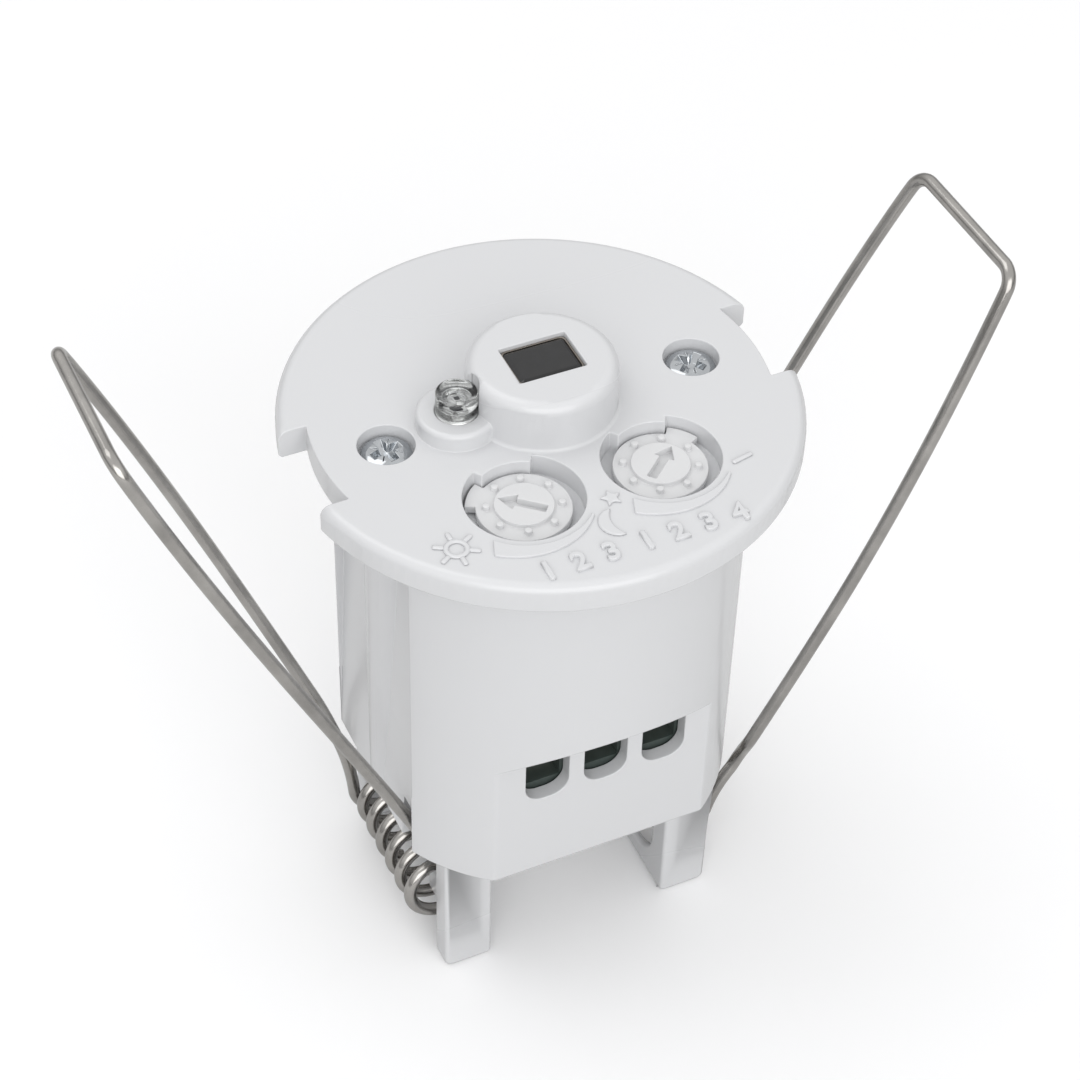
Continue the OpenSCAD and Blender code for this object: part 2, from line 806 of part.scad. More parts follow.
module board_header() {
    color([0.1, 0.1, 0.1])
    union() {
        for (z = [power_top, control_z - header_w]) translate([header_x, header_y, z])
            round_block(header_w, 5 * lead_pitch, header_w, 0.3);
        at_header_pins() translate([0, 0, power_z - 1])
            cylinder(r = pin_r, h = control_top - power_z + 2, $fn = 16);
    }
}

module controller_chip() {
    color([0.1, 0.1, 0.11])
    translate([0.067 * bore_r, 0.536 * bore_r, control_top]) {
        translate([0, 0, 0.15]) round_block(9.9, 3.9, 1.5, 0.2);
        for (k = [-3:3], s = [-1, 1]) translate([k * 1.27, s * 2.4, 0.3])
            cube([0.42, 1.4, 0.6], center = true);
    }
}

// Point of a coil at a winding angle, seen across the coil
function coil_point(w) =
    [coil_r * cos(outer_foot - w), coil_end * (2 * w / wind - 1), coil_r * sin(outer_foot - w)];

// Point of an arm, from 0 at the coil to 1 at the bail's end. The outer arm is drawn in
// above the coil and steps aside past the foot, and the inner arm starts straight.
function arm_point(side, f) = let (
    outer = side < 0,
    at = outer ? outer_foot : inner_foot,
    start = [coil_r * cos(at), side * coil_end, coil_r * sin(at)],
    tip = [bail_l * cos(tip_angle), side * bail_half - bail_set, bail_l * sin(tip_angle)],
    along = start + (tip - start) * f,
    g = max(0, (f - straight_part) / (1 - straight_part)),
    u = min(1, max(0, (f - joggle_from) / joggle_part)),
    sideways = outer ? ((tip[1] - start[1]) * f - 4 * outer_swell * f * (1 - f)) * u * u * (3 - 2 * u)
                     : (tip[1] - start[1]) * g + 6.75 * inner_swell * g * g * (1 - g),
    near = max(0, 1 - f / draw_part),
    draw = outer ? arm_draw * (1 - f) * (1 - near * near) : 0,
    out = side * 6.75 * bail_bow * f * f * (1 - f) - draw)
    [along[0] + out * cos(bail_lean), start[1] + sideways, along[2] - out * sin(bail_lean)];

// Corner of a bail, as an arc from the arm to the end bar
function bend(side) = let (
    tip = arm_point(side, 1),
    up = unit(tip - arm_point(side, 0.9)),
    across = [0, -side, 0])
    [for (i = [0:bend_steps]) let (a = 90 * i / bend_steps)
        tip - bend_r * (1 - sin(a)) * up + bend_r * (1 - cos(a)) * across];

function flip(list) = [for (i = [len(list) - 1:-1:0]) list[i]];

// Whole wire: half the coil, an arm, the end bar, the other arm and the rest of the coil
function spring_path() = let (
    half = wind / 2 - end_cut,
    steps = ceil(half / 360 * turn_steps),
    reach = 1 - 1.6 * bend_r / bail_l,
    front = [for (i = [steps:-1:0]) coil_point(half * i / steps)],
    back = [for (i = [0:steps]) coil_point(wind - half * (1 - i / steps))],
    up = [for (i = [1:arm_steps]) arm_point(-1, reach * pow(i / arm_steps, 1.3))],
    down = [for (i = [arm_steps:-1:1]) arm_point(1, reach * pow(i / arm_steps, 1.3))])
    concat(front, up, bend(-1), flip(bend(1)), down, flip(back));

// Tube of round section along a path, with its rings carried along without twist
module tube(path, r, sides) {
    last = len(path) - 1;
    dirs = [for (i = [0:last]) unit(path[min(i + 1, last)] - path[max(i - 1, 0)])];
    seed = cross(dirs[0], [0, 1, 0]);
    across = [for (i = 0, u = unit(seed); i <= last;
                   i = i + 1, u = i <= last ? unit(u - (u * dirs[i]) * dirs[i]) : u) u];
    rings = [for (i = [0:last], k = [0:sides - 1]) let (a = 360 * k / sides)
        path[i] + r * (cos(a) * across[i] + sin(a) * cross(dirs[i], across[i]))];
    walls = [for (i = [0:last - 1], k = [0:sides - 1]) let (n = (k + 1) % sides)
        [i * sides + k, (i + 1) * sides + k, (i + 1) * sides + n, i * sides + n]];
    polyhedron(rings, concat(walls, [[for (k = [0:sides - 1]) k],
        [for (k = [sides - 1:-1:0]) last * sides + k]]), convexity = 10);
}

module spring() {
    color([0.7, 0.69, 0.68])
    translate([coil_x, 0, coil_z]) tube(spring_path(), wire_r, wire_sides);
}

module right_spring() {
    spring();
}

// The left spring is the same piece turned half round
module left_spring() {
    rotate(180) spring();
}

faceplate();
housing();
pir_sensor();
filter_window();
sensor_spacer();
light_sensor();
lux_dial();
time_dial();
lux_potentiometer();
time_potentiometer();
face_screws();
control_board();
power_board();
terminal_block();
left_clamp();
middle_clamp();
right_clamp();
terminal_screws();
relay();
smoothing_capacitor();
dropper_capacitor();
varistor();
rectifier();
board_header();
controller_chip();
left_spring();
right_spring();
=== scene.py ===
"""Finish of a flush ceiling motion sensor on a pale studio floor.

Moulded shells with soft edges, raised marks, wire springs, screws, the sensor can with its dark filter,
and the clear light sensor.
"""

import json
import math

import bmesh
import bpy
from mathutils import Matrix, Vector
from mathutils.bvhtree import BVHTree
from mathutils.geometry import intersect_point_line

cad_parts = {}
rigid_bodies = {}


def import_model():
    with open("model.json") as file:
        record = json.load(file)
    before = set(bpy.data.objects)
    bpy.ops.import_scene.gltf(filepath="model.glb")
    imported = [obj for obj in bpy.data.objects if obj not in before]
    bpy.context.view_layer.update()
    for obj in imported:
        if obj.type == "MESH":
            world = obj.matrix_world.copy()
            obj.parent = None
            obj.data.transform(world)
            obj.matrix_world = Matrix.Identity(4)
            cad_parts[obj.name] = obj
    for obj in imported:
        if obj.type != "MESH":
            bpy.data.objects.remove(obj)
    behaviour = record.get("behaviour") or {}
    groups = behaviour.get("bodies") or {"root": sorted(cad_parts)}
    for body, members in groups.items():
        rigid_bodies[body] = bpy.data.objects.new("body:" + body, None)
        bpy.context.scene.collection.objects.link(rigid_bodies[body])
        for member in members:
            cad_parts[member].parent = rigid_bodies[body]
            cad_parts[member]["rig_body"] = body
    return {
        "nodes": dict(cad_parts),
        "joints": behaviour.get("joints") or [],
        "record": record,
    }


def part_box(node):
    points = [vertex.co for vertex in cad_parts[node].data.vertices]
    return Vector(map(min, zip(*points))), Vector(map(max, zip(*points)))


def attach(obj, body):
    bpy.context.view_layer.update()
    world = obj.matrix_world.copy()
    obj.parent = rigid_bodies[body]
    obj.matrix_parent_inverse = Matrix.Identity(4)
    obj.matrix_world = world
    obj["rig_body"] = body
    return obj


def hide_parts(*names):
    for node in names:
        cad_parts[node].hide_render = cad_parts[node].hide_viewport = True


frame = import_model()

bl_info = {
    "name": "Ceiling Motion Sensor Finish",
    "version": (1, 0, 0),
    "blender": (4, 5, 0),
    "location": "View3D > Sidebar > Motion Sensor",
    "description": "Builds the visible surfaces of a flush ceiling motion sensor",
    "category": "Object",
}

MM = 0.001
JOINTS = {joint["name"]: joint for joint in frame["joints"]}
PLATE_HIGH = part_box("faceplate")[1]
CAN_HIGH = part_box("pir_sensor")[1]
SCREWS_LOW, SCREWS_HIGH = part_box("face_screws")
GLASS_LOW, GLASS_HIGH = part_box("filter_window")
LAMP_LOW, LAMP_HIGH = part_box("light_sensor")
SPRING_PIVOT = Vector(JOINTS["right_spring_swing"]["pos_m"])
DIAL_PIVOT = Vector(JOINTS["lux_dial_turn"]["pos_m"])
BOSS_RISE = 6.35 * MM
PLATE_TOP = PLATE_HIGH.z - BOSS_RISE


# Sizes and colours

def length(name, text, value, low=0.0, high=0.2):
    """A setting in metres."""
    return bpy.props.FloatProperty(name=name, description=text, default=value, min=low, max=high,
                                   subtype="DISTANCE", unit="LENGTH", precision=5)


def angle(name, text, degrees):
    """A setting that is an angle, given in degrees and kept in radians."""
    return bpy.props.FloatProperty(name=name, description=text, default=math.radians(degrees),
                                   subtype="ANGLE", unit="ROTATION")


def colour(name, text, value):
    """A setting that is a colour, as linear red, green and blue."""
    return bpy.props.FloatVectorProperty(name=name, description=text, default=value, min=0.0, max=1.0,
                                         size=3, subtype="COLOR")


def share(name, text, value, high=1.0):
    """A setting without a unit, from nought up."""
    return bpy.props.FloatProperty(name=name, description=text, default=value, min=0.0, max=high,
                                   subtype="FACTOR")


class SensorShellSettings(bpy.types.PropertyGroup):
    """Moulded faceplate, housing and dials."""

    edge: length("Edge softness", "Width of the rounding on moulded edges", 0.16 * MM)
    foot_edge: length("Foot softness", "Width of the rounding on the feet", 0.55 * MM)
    lip: length("Lip softness", "Width of the rounding round the body's underside", 0.3 * MM)
    plastic: colour("Plastic", "Colour of the white moulded plastic", (0.66, 0.665, 0.678))
    dial: colour("Dial plastic", "Colour of the white dials", (0.68, 0.683, 0.69))
    gloss: share("Roughness", "Roughness of the moulded plastic", 0.26)


class SensorMarkSettings(bpy.types.PropertyGroup):
    """Raised marks on the faceplate."""

    height: length("Mark height", "How far a mark stands above the faceplate", 0.3 * MM)
    edge: length("Mark edge", "Rounding of a mark's upper edge", 0.21 * MM)
    arc_r: length("Scale radius", "Inner radius of the tapered scale round a dial", 7.75 * MM)
    arc_w: length("Scale width", "Width of the tapered scale at its wide end", 1.8 * MM)
    stroke: length("Stroke", "Width of a mark's lines", 0.58 * MM)
    arc_from: angle("Scale start", "Direction of the wide end of a scale", -140)
    arc_to: angle("Scale end", "Direction of the pointed end of a scale", -44)
    sun_r: length("Sun radius", "Outer radius of the sun's ring", 1.45 * MM)
    ray_r: length("Sun ray radius", "Distance of the tips of the sun's rays from its middle", 2.65 * MM)
    numeral: length("Numeral height", "Height of the numerals", 2.6 * MM)


class SensorSpringSettings(bpy.types.PropertyGroup):
    """Wire springs with long bails."""

    wire_d: length("Wire diameter", "Diameter of the spring wire", 1.6 * MM)
    coil_d: length("Coil diameter", "Mean diameter of a coil", 6.9 * MM)
    coil_end: length("Coil half length", "Distance of a coil's last turn from its middle", 10.35 * MM)
    bail_l: length("Bail length", "Distance from a coil's axis to the end of its bail", 89 * MM)
    bail_half: length("Bail half width", "Half width of a bail at its end", 10.2 * MM)
    bail_set: length("Bail set", "Sideways set of a bail's end", 4.8 * MM)
    bail_bow: length("Bail bow", "Bow of a bail's arms in its plane", 0.5 * MM)
    outer_swell: length("Outer swell", "Sideways bow of a bail's outer arm", 3.65 * MM)
    inner_swell: length("Inner swell", "Sideways bow of a bail's inner arm", 1.4 * MM)
    arm_draw: length("Arm draw", "How far the outer arm is drawn in above the coil", 2.6 * MM)
    bend_r: length("Bend radius", "Radius of the wire's bends at a bail's end", 2.2 * MM)
    lean: angle("Bail lean", "Lean of a bail from upright at rest", 22.4)
    turns: bpy.props.IntProperty(name="Turns", description="Whole turns of a coil", default=6, min=1)
    steel: colour("Wire steel", "Colour of the bright drawn wire", (0.44, 0.425, 0.405))


class SensorStageSettings(bpy.types.PropertyGroup):
    """Floor, light and camera."""

    eye: bpy.props.FloatVectorProperty(name="Camera place", description="Where the camera stands", size=3,
                                       default=(-0.1013, -0.21056, 0.28474), subtype="TRANSLATION")
    azimuth: angle("Azimuth", "Turn of the camera round the object", -25.77)
    elevation: angle("Elevation", "How far the camera looks down", 44.46)
    roll: angle("Roll", "Tilt of the camera about its line of sight", 1.71)
    focal: bpy.props.FloatProperty(name="Focal length", description="Focal length for a 36 mm sensor",
                                   default=92.2, min=10, max=300)
    daylight: share("Daylight", "Strength of the even light from all round", 0.92, 5.0)
    key: share("Key light", "Power of the large soft light overhead, in watts", 0.9, 50.0)
    front: share("Front light", "Power of the wide soft light in front, in watts", 5.2, 50.0)


SETTINGS = {"sensor_shell": SensorShellSettings, "sensor_marks": SensorMarkSettings,
            "sensor_springs": SensorSpringSettings, "sensor_stage": SensorStageSettings}


# Materials

class Nodes:
    """Short way to add and join a material's nodes."""

    def __init__(self, name):
        self.material = bpy.data.materials.new(name)
        self.material.use_nodes = True
        self.tree = self.material.node_tree
        self.shader = self.tree.nodes["Principled BSDF"]

    def add(self, kind, **values):
        """A new node, with its sockets or options set by name."""
        node = self.tree.nodes.new(kind)
        for key, value in values.items():
            if key in node.inputs:
                node.inputs[key].default_value = value
            else:
                setattr(node, key, value)
        return node

    def join(self, out, into):
        self.tree.links.new(out, into)

    def place(self):
        """The point's place on the object."""
        return self.add("ShaderNodeTexCoord").outputs["Object"]

    def noise(self, scale, detail=3.0, rough=0.55, place=None):
        """A cloud of values from nought to one, mostly near a half."""
        node = self.add("ShaderNodeTexNoise", Scale=scale, Detail=detail, Roughness=rough)
        self.join(place or self.place(), node.inputs["Vector"])
        return node.outputs["Fac"]

    def spread(self, value, low, high, from_low=0.3, from_high=0.7):
        """A number between low and high that follows a value."""
        node = self.add("ShaderNodeMapRange")
        ends = {"From Min": from_low, "From Max": from_high, "To Min": low, "To Max": high}
        for key, number in ends.items():
            node.inputs[key].default_value = number
        self.join(value, node.inputs["Value"])
        return node.outputs["Result"]

    def tint(self, value, low, high, start=0.3, end=0.7):
        """A colour between low and high that follows a value."""
        ramp = self.add("ShaderNodeValToRGB")
        ramp.color_ramp.elements[0].color = (*low, 1.0)
        ramp.color_ramp.elements[1].color = (*high, 1.0)
        ramp.color_ramp.elements[0].position = start
        ramp.color_ramp.elements[1].position = end
        self.join(value, ramp.inputs["Fac"])
        return ramp.outputs["Color"]

    def bump(self, height, depth, strength):
        """A surface direction that follows a value as if it were a height."""
        node = self.add("ShaderNodeBump", Strength=strength, Distance=depth)
        self.join(height, node.inputs["Height"])
        return node.outputs["Normal"]

    def set(self, **values):
        """Sets or joins the shader's sockets and gives back the finished material."""
        for key, value in values.items():
            socket = self.shader.inputs[key.replace("_", " ")]
            if isinstance(value, bpy.types.NodeSocket):
                self.join(value, socket)
            else:
                socket.default_value = value
        return self.material


def scaled(rgb, factor):
    """A colour made lighter or darker."""
    return tuple(min(1.0, c * factor) for c in rgb)


def moulded_plastic(name, rgb, roughness):
    """Glossy injection-moulded plastic: slow changes of shade and gloss under a smooth skin."""
    look = Nodes(name)
    cloud = look.noise(7.0, detail=0.0)
    shade = look.tint(cloud, scaled(rgb, 0.98), scaled(rgb, 1.02), 0.0, 1.0)
    gloss = look.spread(cloud, roughness - 0.06, roughness + 0.08, 0.0, 1.0)
    return look.set(Base_Color=shade, Roughness=gloss, IOR=1.5, Coat_Weight=0.35, Coat_Roughness=0.1)


def dark_plastic(name, rgb, roughness=0.42):
    """Plain moulded plastic with a fine grain, for dark and coloured parts."""
    look = Nodes(name)
    shade = look.tint(look.noise(300.0), scaled(rgb, 0.85), scaled(rgb, 1.15))
    gloss = look.spread(look.noise(1500.0), roughness - 0.06, roughness + 0.08)
    grain = look.bump(look.noise(4000.0, detail=2.0), 0.01 * MM, 0.5)
    return look.set(Base_Color=shade, Roughness=gloss, IOR=1.5, Normal=grain)


def plated_metal(name, rgb, roughness):
    """Bright plate over steel, with hairline marks and slightly uneven gloss."""
    look = Nodes(name)
    stretch = look.add("ShaderNodeMapping")
    stretch.inputs["Scale"].default_value = (1.0, 1.0, 0.12)
    look.join(look.place(), stretch.inputs["Vector"])
    hair = look.noise(1200.0, 4.0, 0.7, stretch.outputs["Vector"])
    shade = look.tint(look.noise(700.0), scaled(rgb, 0.9), scaled(rgb, 1.06))
    gloss = look.spread(hair, roughness * 0.7, roughness * 1.5)
    return look.set(Base_Color=shade, Metallic=1.0, Roughness=gloss, Normal=look.bump(hair, 0.006 * MM, 0.4))


def drawn_wire(name, rgb):
    """Bright drawn spring wire: long draw lines that follow the wire, from its wire_uv attribute."""
    look = Nodes(name)
    along = look.add("ShaderNodeAttribute", attribute_name="wire_uv", attribute_type="GEOMETRY")
    stretch = look.add("ShaderNodeMapping")
    stretch.inputs["Scale"].default_value = (9.0, 14.0, 1.0)
    look.join(along.outputs["Vector"], stretch.inputs["Vector"])
    lines = look.noise(1.6, 5.0, 0.75, stretch.outputs["Vector"])
    shade = look.tint(look.noise(220.0, 4.0), scaled(rgb, 0.8), scaled(rgb, 1.12))
    gloss = look.spread(lines, 0.12, 0.26)
    return look.set(Base_Color=shade, Metallic=1.0, Roughness=gloss, Normal=look.bump(lines, 0.02 * MM, 0.5))


def dark_filter(name):
    """Dark silicon filter: a polished, almost black plate."""
    look = Nodes(name)
    shade = look.tint(look.noise(900.0), (0.009, 0.009, 0.0095), (0.013, 0.013, 0.014))
    gloss = look.spread(look.noise(2500.0), 0.1, 0.18)
    return look.set(Base_Color=shade, Roughness=gloss, IOR=1.55)


def clear_resin(name):
    """Clear cast resin of a light sensor."""
    look = Nodes(name)
    gloss = look.spread(look.noise(700.0), 0.015, 0.05)
    ripple = look.bump(look.noise(380.0), 0.012 * MM, 0.15)
    return look.set(Base_Color=(0.93, 0.95, 0.95, 1.0), Roughness=gloss, IOR=1.52,
                    Transmission_Weight=1.0, Normal=ripple)


def circuit_board(name):
    """Green solder mask with pale tracks under it."""
    look = Nodes(name)
    tracks = look.add("ShaderNodeTexBrick", Scale=180.0, Color1=(0.02, 0.16, 0.07, 1),
                      Color2=(0.02, 0.2, 0.09, 1), Mortar=(0.05, 0.3, 0.14, 1))
    look.join(look.place(), tracks.inputs["Vector"])
    gloss = look.spread(look.noise(500.0), 0.25, 0.4)
    return look.set(Base_Color=tracks.outputs["Color"], Roughness=gloss)


def floor_paint(name):
    """Studio floor that the camera sees paler than the object does, so that it throws little light up."""
    look = Nodes(name)
    seen = look.add("ShaderNodeLightPath").outputs["Is Camera Ray"]
    shade = look.tint(seen, (0.66, 0.66, 0.66), (0.96, 0.96, 0.965), 0.0, 1.0)
    return look.set(Base_Color=shade, Roughness=0.9)


PAINTS = {}


def paint(slot):
    """The material of one of the record's slots, made once."""
    shell = bpy.context.scene.sensor_shell
    steel = bpy.context.scene.sensor_springs.steel
    makers = {
        "white_plastic": lambda: moulded_plastic("White plastic", shell.plastic, shell.gloss),
        "dial_plastic": lambda: moulded_plastic("Dial plastic", shell.dial, shell.gloss),
        "can_metal": lambda: plated_metal("Nickel can", (0.3, 0.27, 0.24), 0.3),
        "dark_filter": lambda: dark_filter("Dark filter"),
        "clear_resin": lambda: clear_resin("Clear resin"),
        "black_plastic": lambda: dark_plastic("Black plastic", (0.02, 0.02, 0.022)),
        "blue_plastic": lambda: dark_plastic("Blue plastic", (0.03, 0.1, 0.35)),
        "zinc_steel": lambda: plated_metal("Zinc plate", (0.52, 0.54, 0.56), 0.09),
        "board_green": lambda: circuit_board("Solder mask"),
        "terminal_green": lambda: dark_plastic("Green terminal plastic", (0.05, 0.066, 0.06), 0.5),
        "clamp_metal": lambda: plated_metal("Clamp plate", (0.62, 0.58, 0.48), 0.25),
        "capacitor_sleeve": lambda: dark_plastic("Shrink sleeve", (0.02, 0.03, 0.09), 0.25),
        "film_yellow": lambda: dark_plastic("Yellow film box", (0.5, 0.32, 0.03), 0.3),
        "spring_steel": lambda: drawn_wire("Spring wire", steel),
        "lead_silver": lambda: plated_metal("Silvered lead", (0.7, 0.7, 0.695), 0.2),
        "chip_dark": lambda: dark_plastic("Sensor chip", (0.015, 0.016, 0.02), 0.2),
    }
    if slot not in PAINTS:
        PAINTS[slot] = makers[slot]()
    return PAINTS[slot]


# Mesh helpers

CREASE_TURN = math.radians(32)
FACET_TURN = math.radians(9)
FLAT_TURN = math.radians(0.4)
WELD = 0.002 * MM
LEAST_ROUNDING = 0.03 * MM
NARROW_STRIP = 0.3 * MM
STRIP_SHARE = 0.4


def new_piece(name, bm, slot=None):
    """Turns a bmesh into an object at the origin, wearing a slot's material."""
    mesh = bpy.data.meshes.new(name)
    bm.to_mesh(mesh)
    bm.free()
    piece = bpy.data.objects.new(name, mesh)
    bpy.context.scene.collection.objects.link(piece)
    if slot:
        mesh.materials.append(paint(slot))
    return piece


def settled(piece):
    """Applies every modifier, so that the piece is one plain mesh."""
    graph = bpy.context.evaluated_depsgraph_get()
    mesh = bpy.data.meshes.new_from_object(piece.evaluated_get(graph))
    piece.modifiers.clear()
    piece.data = mesh
    return piece


def soften(piece, width, segments=2, sharp=CREASE_TURN):
    """Rounds the weighted edges, or else the sharp ones, and shades smoothly with flat faces kept flat."""
    for face in piece.data.polygons:
        face.use_smooth = True
    bevel = piece.modifiers.new("Soft edges", "BEVEL")
    bevel.width = width
    bevel.segments = segments
    bevel.limit_method = "WEIGHT" if "bevel_weight_edge" in piece.data.attributes else "ANGLE"
    bevel.angle_limit = sharp
    bevel.use_clamp_overlap = False
    bevel.miter_outer = "MITER_ARC"
    normals = piece.modifiers.new("Flat faces stay flat", "WEIGHTED_NORMAL")
    normals.keep_sharp = True
    normals.weight = 100
    return settled(piece)


def face_width(face):
    """Mean width of a face across its longest edge."""
    return face.calc_area() / max(max(edge.calc_length() for edge in face.edges), 1e-9)


def merge_slivers(bm):
    """Joins a narrow strip beside a cut to the wider facet of the same curved wall next to it."""
    doomed = []
    for edge in bm.edges:
        if len(edge.link_faces) == 2 and edge.calc_face_angle(0.0) < FACET_TURN:
            low, high = sorted(face_width(face) for face in edge.link_faces)
            if low < NARROW_STRIP and low < STRIP_SHARE * high:
                doomed.append(edge)
    bmesh.ops.dissolve_edges(bm, edges=doomed, use_verts=True)


def room_beside(edge, creased):
    """Least distance across the faces of an edge to another creased edge that runs beside it."""
    samples = (0.02, 0.25, 0.5, 0.75, 0.98)
    alike, askew = 0.9, 0.5
    a, b = edge.verts[0].co, edge.verts[1].co
    along = (b - a).normalized()
    room = 1.0
    for face in edge.link_faces:
        for other in face.edges:
            if other is edge or other not in creased:
                continue
            c, d = other.verts[0].co, other.verts[1].co
            common = set(edge.verts) & set(other.verts)
            if common:
                if abs(along.dot((d - c).normalized())) > alike and edge.calc_length() > MM:
                    corner = common.pop()
                    away = edge.other_vert(corner).co - corner.co
                    back = other.other_vert(corner).co - corner.co
                    if away.dot(back) > 0:
                        room = 0.0
                continue
            for part in samples:
                point = a.lerp(b, part)
                near, how_far = intersect_point_line(point, c, d)
                near = c if how_far < 0 else d if how_far > 1 else near
                gap = near - point
                if abs(gap.dot(along)) < askew * gap.length or gap.length < 1e-6:
                    room = min(room, gap.length)
    return room


def weigh_edges(bm, width, crease, wish):
    """Gives each edge to round a weight that its surroundings have room for, and marks other creases."""
    room_needed = 2.3 * width
    layer = bm.edges.layers.float.new("bevel_weight_edge")
    creased = {edge for edge in bm.edges
               if len(edge.link_faces) == 2 and edge.calc_face_angle(0.0) > CREASE_TURN}
    for edge in bm.edges:
        if edge in creased:
            weight = min(wish(edge), room_beside(edge, creased) / room_needed)
            edge[layer] = weight if weight * width > LEAST_ROUNDING else 0.0
            edge.smooth = edge[layer] > 0.0
        elif len(edge.link_faces) == 2:
            edge.smooth = not (crease(edge) and edge.calc_face_angle(0.0) > FACET_TURN)


def welded_copy(node):
    """A bmesh of a CAD node with its loose triangles joined and its flat faces merged."""
    bm = bmesh.new()
    bm.from_mesh(frame["nodes"][node].data)
    bmesh.ops.remove_doubles(bm, verts=bm.verts, dist=WELD)
    bmesh.ops.dissolve_limit(bm, angle_limit=FLAT_TURN, verts=bm.verts, edges=bm.edges)
    merge_slivers(bm)
    return bm


def wear(piece, body, slot, *nodes):
    """Rides the piece on a body and hides the CAD nodes that it stands for. Its slot is not used."""
    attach(piece, body)
    if nodes:
        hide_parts(*nodes)
    return piece


def lathe(outline, centre, steps):
    """Solid turned about a vertical axis from (radius, height) points, from the axis out and back."""
    bm = bmesh.new()
    rings = []
    for radius, height in outline:
        if radius < 1e-9:
            rings.append([bm.verts.new((centre[0], centre[1], height))])
        else:
            rings.append([bm.verts.new((x, y, height)) for x, y in circle_outline(centre, radius, steps)])
    for low, high in zip(rings, rings[1:]):
        for k in range(steps):
            corner = [low[k % len(low)], low[(k + 1) % len(low)]]
            corner += [high[(k + 1) % len(high)], high[k % len(high)]]
            corner = [v for i, v in enumerate(corner) if v not in corner[:i]]
            if len(corner) > 2:
                bm.faces.new(corner)
    bmesh.ops.recalc_face_normals(bm, faces=bm.faces)
    return bm


def prism(outline, low, high, top_outline=None):
    """Upright solid over a closed outline of (x, y) points, with another one on top where it tapers."""
    bm = bmesh.new()
    ends = [[bm.verts.new((x, y, z)) for x, y in points]
            for points, z in ((outline, low), (top_outline or outline, high))]
    bm.faces.new(ends[1])
    bm.faces.new(ends[0][::-1])
    count = len(outline)
    for i in range(count):
        j = (i + 1) % count
        bm.faces.new([ends[0][i], ends[0][j], ends[1][j], ends[1][i]])
    bmesh.ops.recalc_face_normals(bm, faces=bm.faces)
    return bm


def arc_points(centre, radius, start, end, steps):
    """Points along an arc, angles in radians."""
    return [(centre[0] + radius * math.cos(start + (end - start) * i / steps),
             centre[1] + radius * math.sin(start + (end - start) * i / steps)) for i in range(steps + 1)]


def circle_outline(centre, radius, steps):
    """Closed circle, its last point one step before its first."""
    return arc_points(centre, radius, 0, math.tau, steps)[:steps]


def box_outline(centre, half_x, half_y):
    """Outline of a rectangle about a point."""
    corners = ((-1, -1), (1, -1), (1, 1), (-1, 1))
    return [(centre[0] + x * half_x, centre[1] + y * half_y) for x, y in corners]


def rounded_box(half_x, half_y, radius):
    """Outline of a rectangle with round corners about the axis."""
    points = []
    for k, (x, y) in enumerate(((1, 1), (-1, 1), (-1, -1), (1, -1))):
        points += arc_points((x * (half_x - radius), y * (half_y - radius)), radius,
                             math.pi / 2 * k, math.pi / 2 * (k + 1), 4)
    return points


def carve(piece, cutters):
    """Cuts other pieces, which are used up, out of the piece."""
    for cutter in cutters:
        step = piece.modifiers.new("Carve", "BOOLEAN")
        step.operation = "DIFFERENCE"
        step.solver = "EXACT"
        step.object = cutter
    settled(piece)
    for cutter in cutters:
        bpy.data.objects.remove(cutter)
    return piece


def joined(name, pieces, slot):
    """One object out of several plain meshes."""
    bm = bmesh.new()
    for piece in pieces:
        bm.from_mesh(piece.data)
        bpy.data.objects.remove(piece)
    return new_piece(name, bm, slot)


# Moulded shells

def make_shell(node, name, slot, edge, levels=(), crease=lambda edge: False, wish=lambda edge: 1.0):
    """Soft-edged copy of a CAD node, cut across at some levels so that a long edge can soften in part.

    Where a rounding runs out of room it leaves points that stand off the solid. They are put back on it.
    """
    bm = welded_copy(node)
    for level in levels:
        bmesh.ops.bisect_plane(bm, geom=bm.verts[:] + bm.edges[:] + bm.faces[:], dist=1e-7,
                               plane_co=(0, 0, level), plane_no=(0, 0, 1))
    weigh_edges(bm, edge, crease, wish)
    skin = BVHTree.FromBMesh(bm)
    piece = new_piece(name, bm, slot)
    soften(piece, edge)
    stray = 0.5 * edge
    for vert in piece.data.vertices:
        near, _, _, away = skin.find_nearest(vert.co)
        if away > stray:
            vert.co = near
    return wear(piece, frame["nodes"][node]["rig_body"], slot, node)


class SENSOR_OT_faceplate(bpy.types.Operator):
    """Faceplate with soft moulded edges"""

    bl_idname = "sensor.faceplate"
    bl_label = "Faceplate"

    def execute(self, context):
        make_shell("faceplate", "faceplate_shell", "white_plastic", context.scene.sensor_shell.edge)
        return {"FINISHED"}


class SENSOR_OT_housing(bpy.types.Operator):
    """Housing with soft moulded edges"""

    bl_idname = "sensor.housing"
    bl_label = "Housing"

    def execute(self, context):
        # A long upright edge is cut at these levels, so that its rounding can end part way
        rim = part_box("housing")[1].z
        levels = [rim * part for part in (0.42, 0.52, 0.64, 0.8)]
        foot_top = rim * 0.274
        lip_top = rim * 0.29
        front_y = -17 * MM
        tall = 3 * MM
        shell = context.scene.sensor_shell

        def above(edge):
            """Facets above the feet keep their lines."""
            return min(vert.co.z for vert in edge.verts) > foot_top

        def wish(edge):
            """Share of the widest rounding that an edge should get."""
            low, high = sorted(vert.co.z for vert in edge.verts)
            front = max(vert.co.y for vert in edge.verts) < front_y
            if low < foot_top or (front and high - low > tall):
                return 1.0
            return (shell.lip if high < lip_top else shell.edge) / shell.foot_edge

        make_shell("housing", "housing_shell", "white_plastic", shell.foot_edge, levels, above, wish)
        return {"FINISHED"}


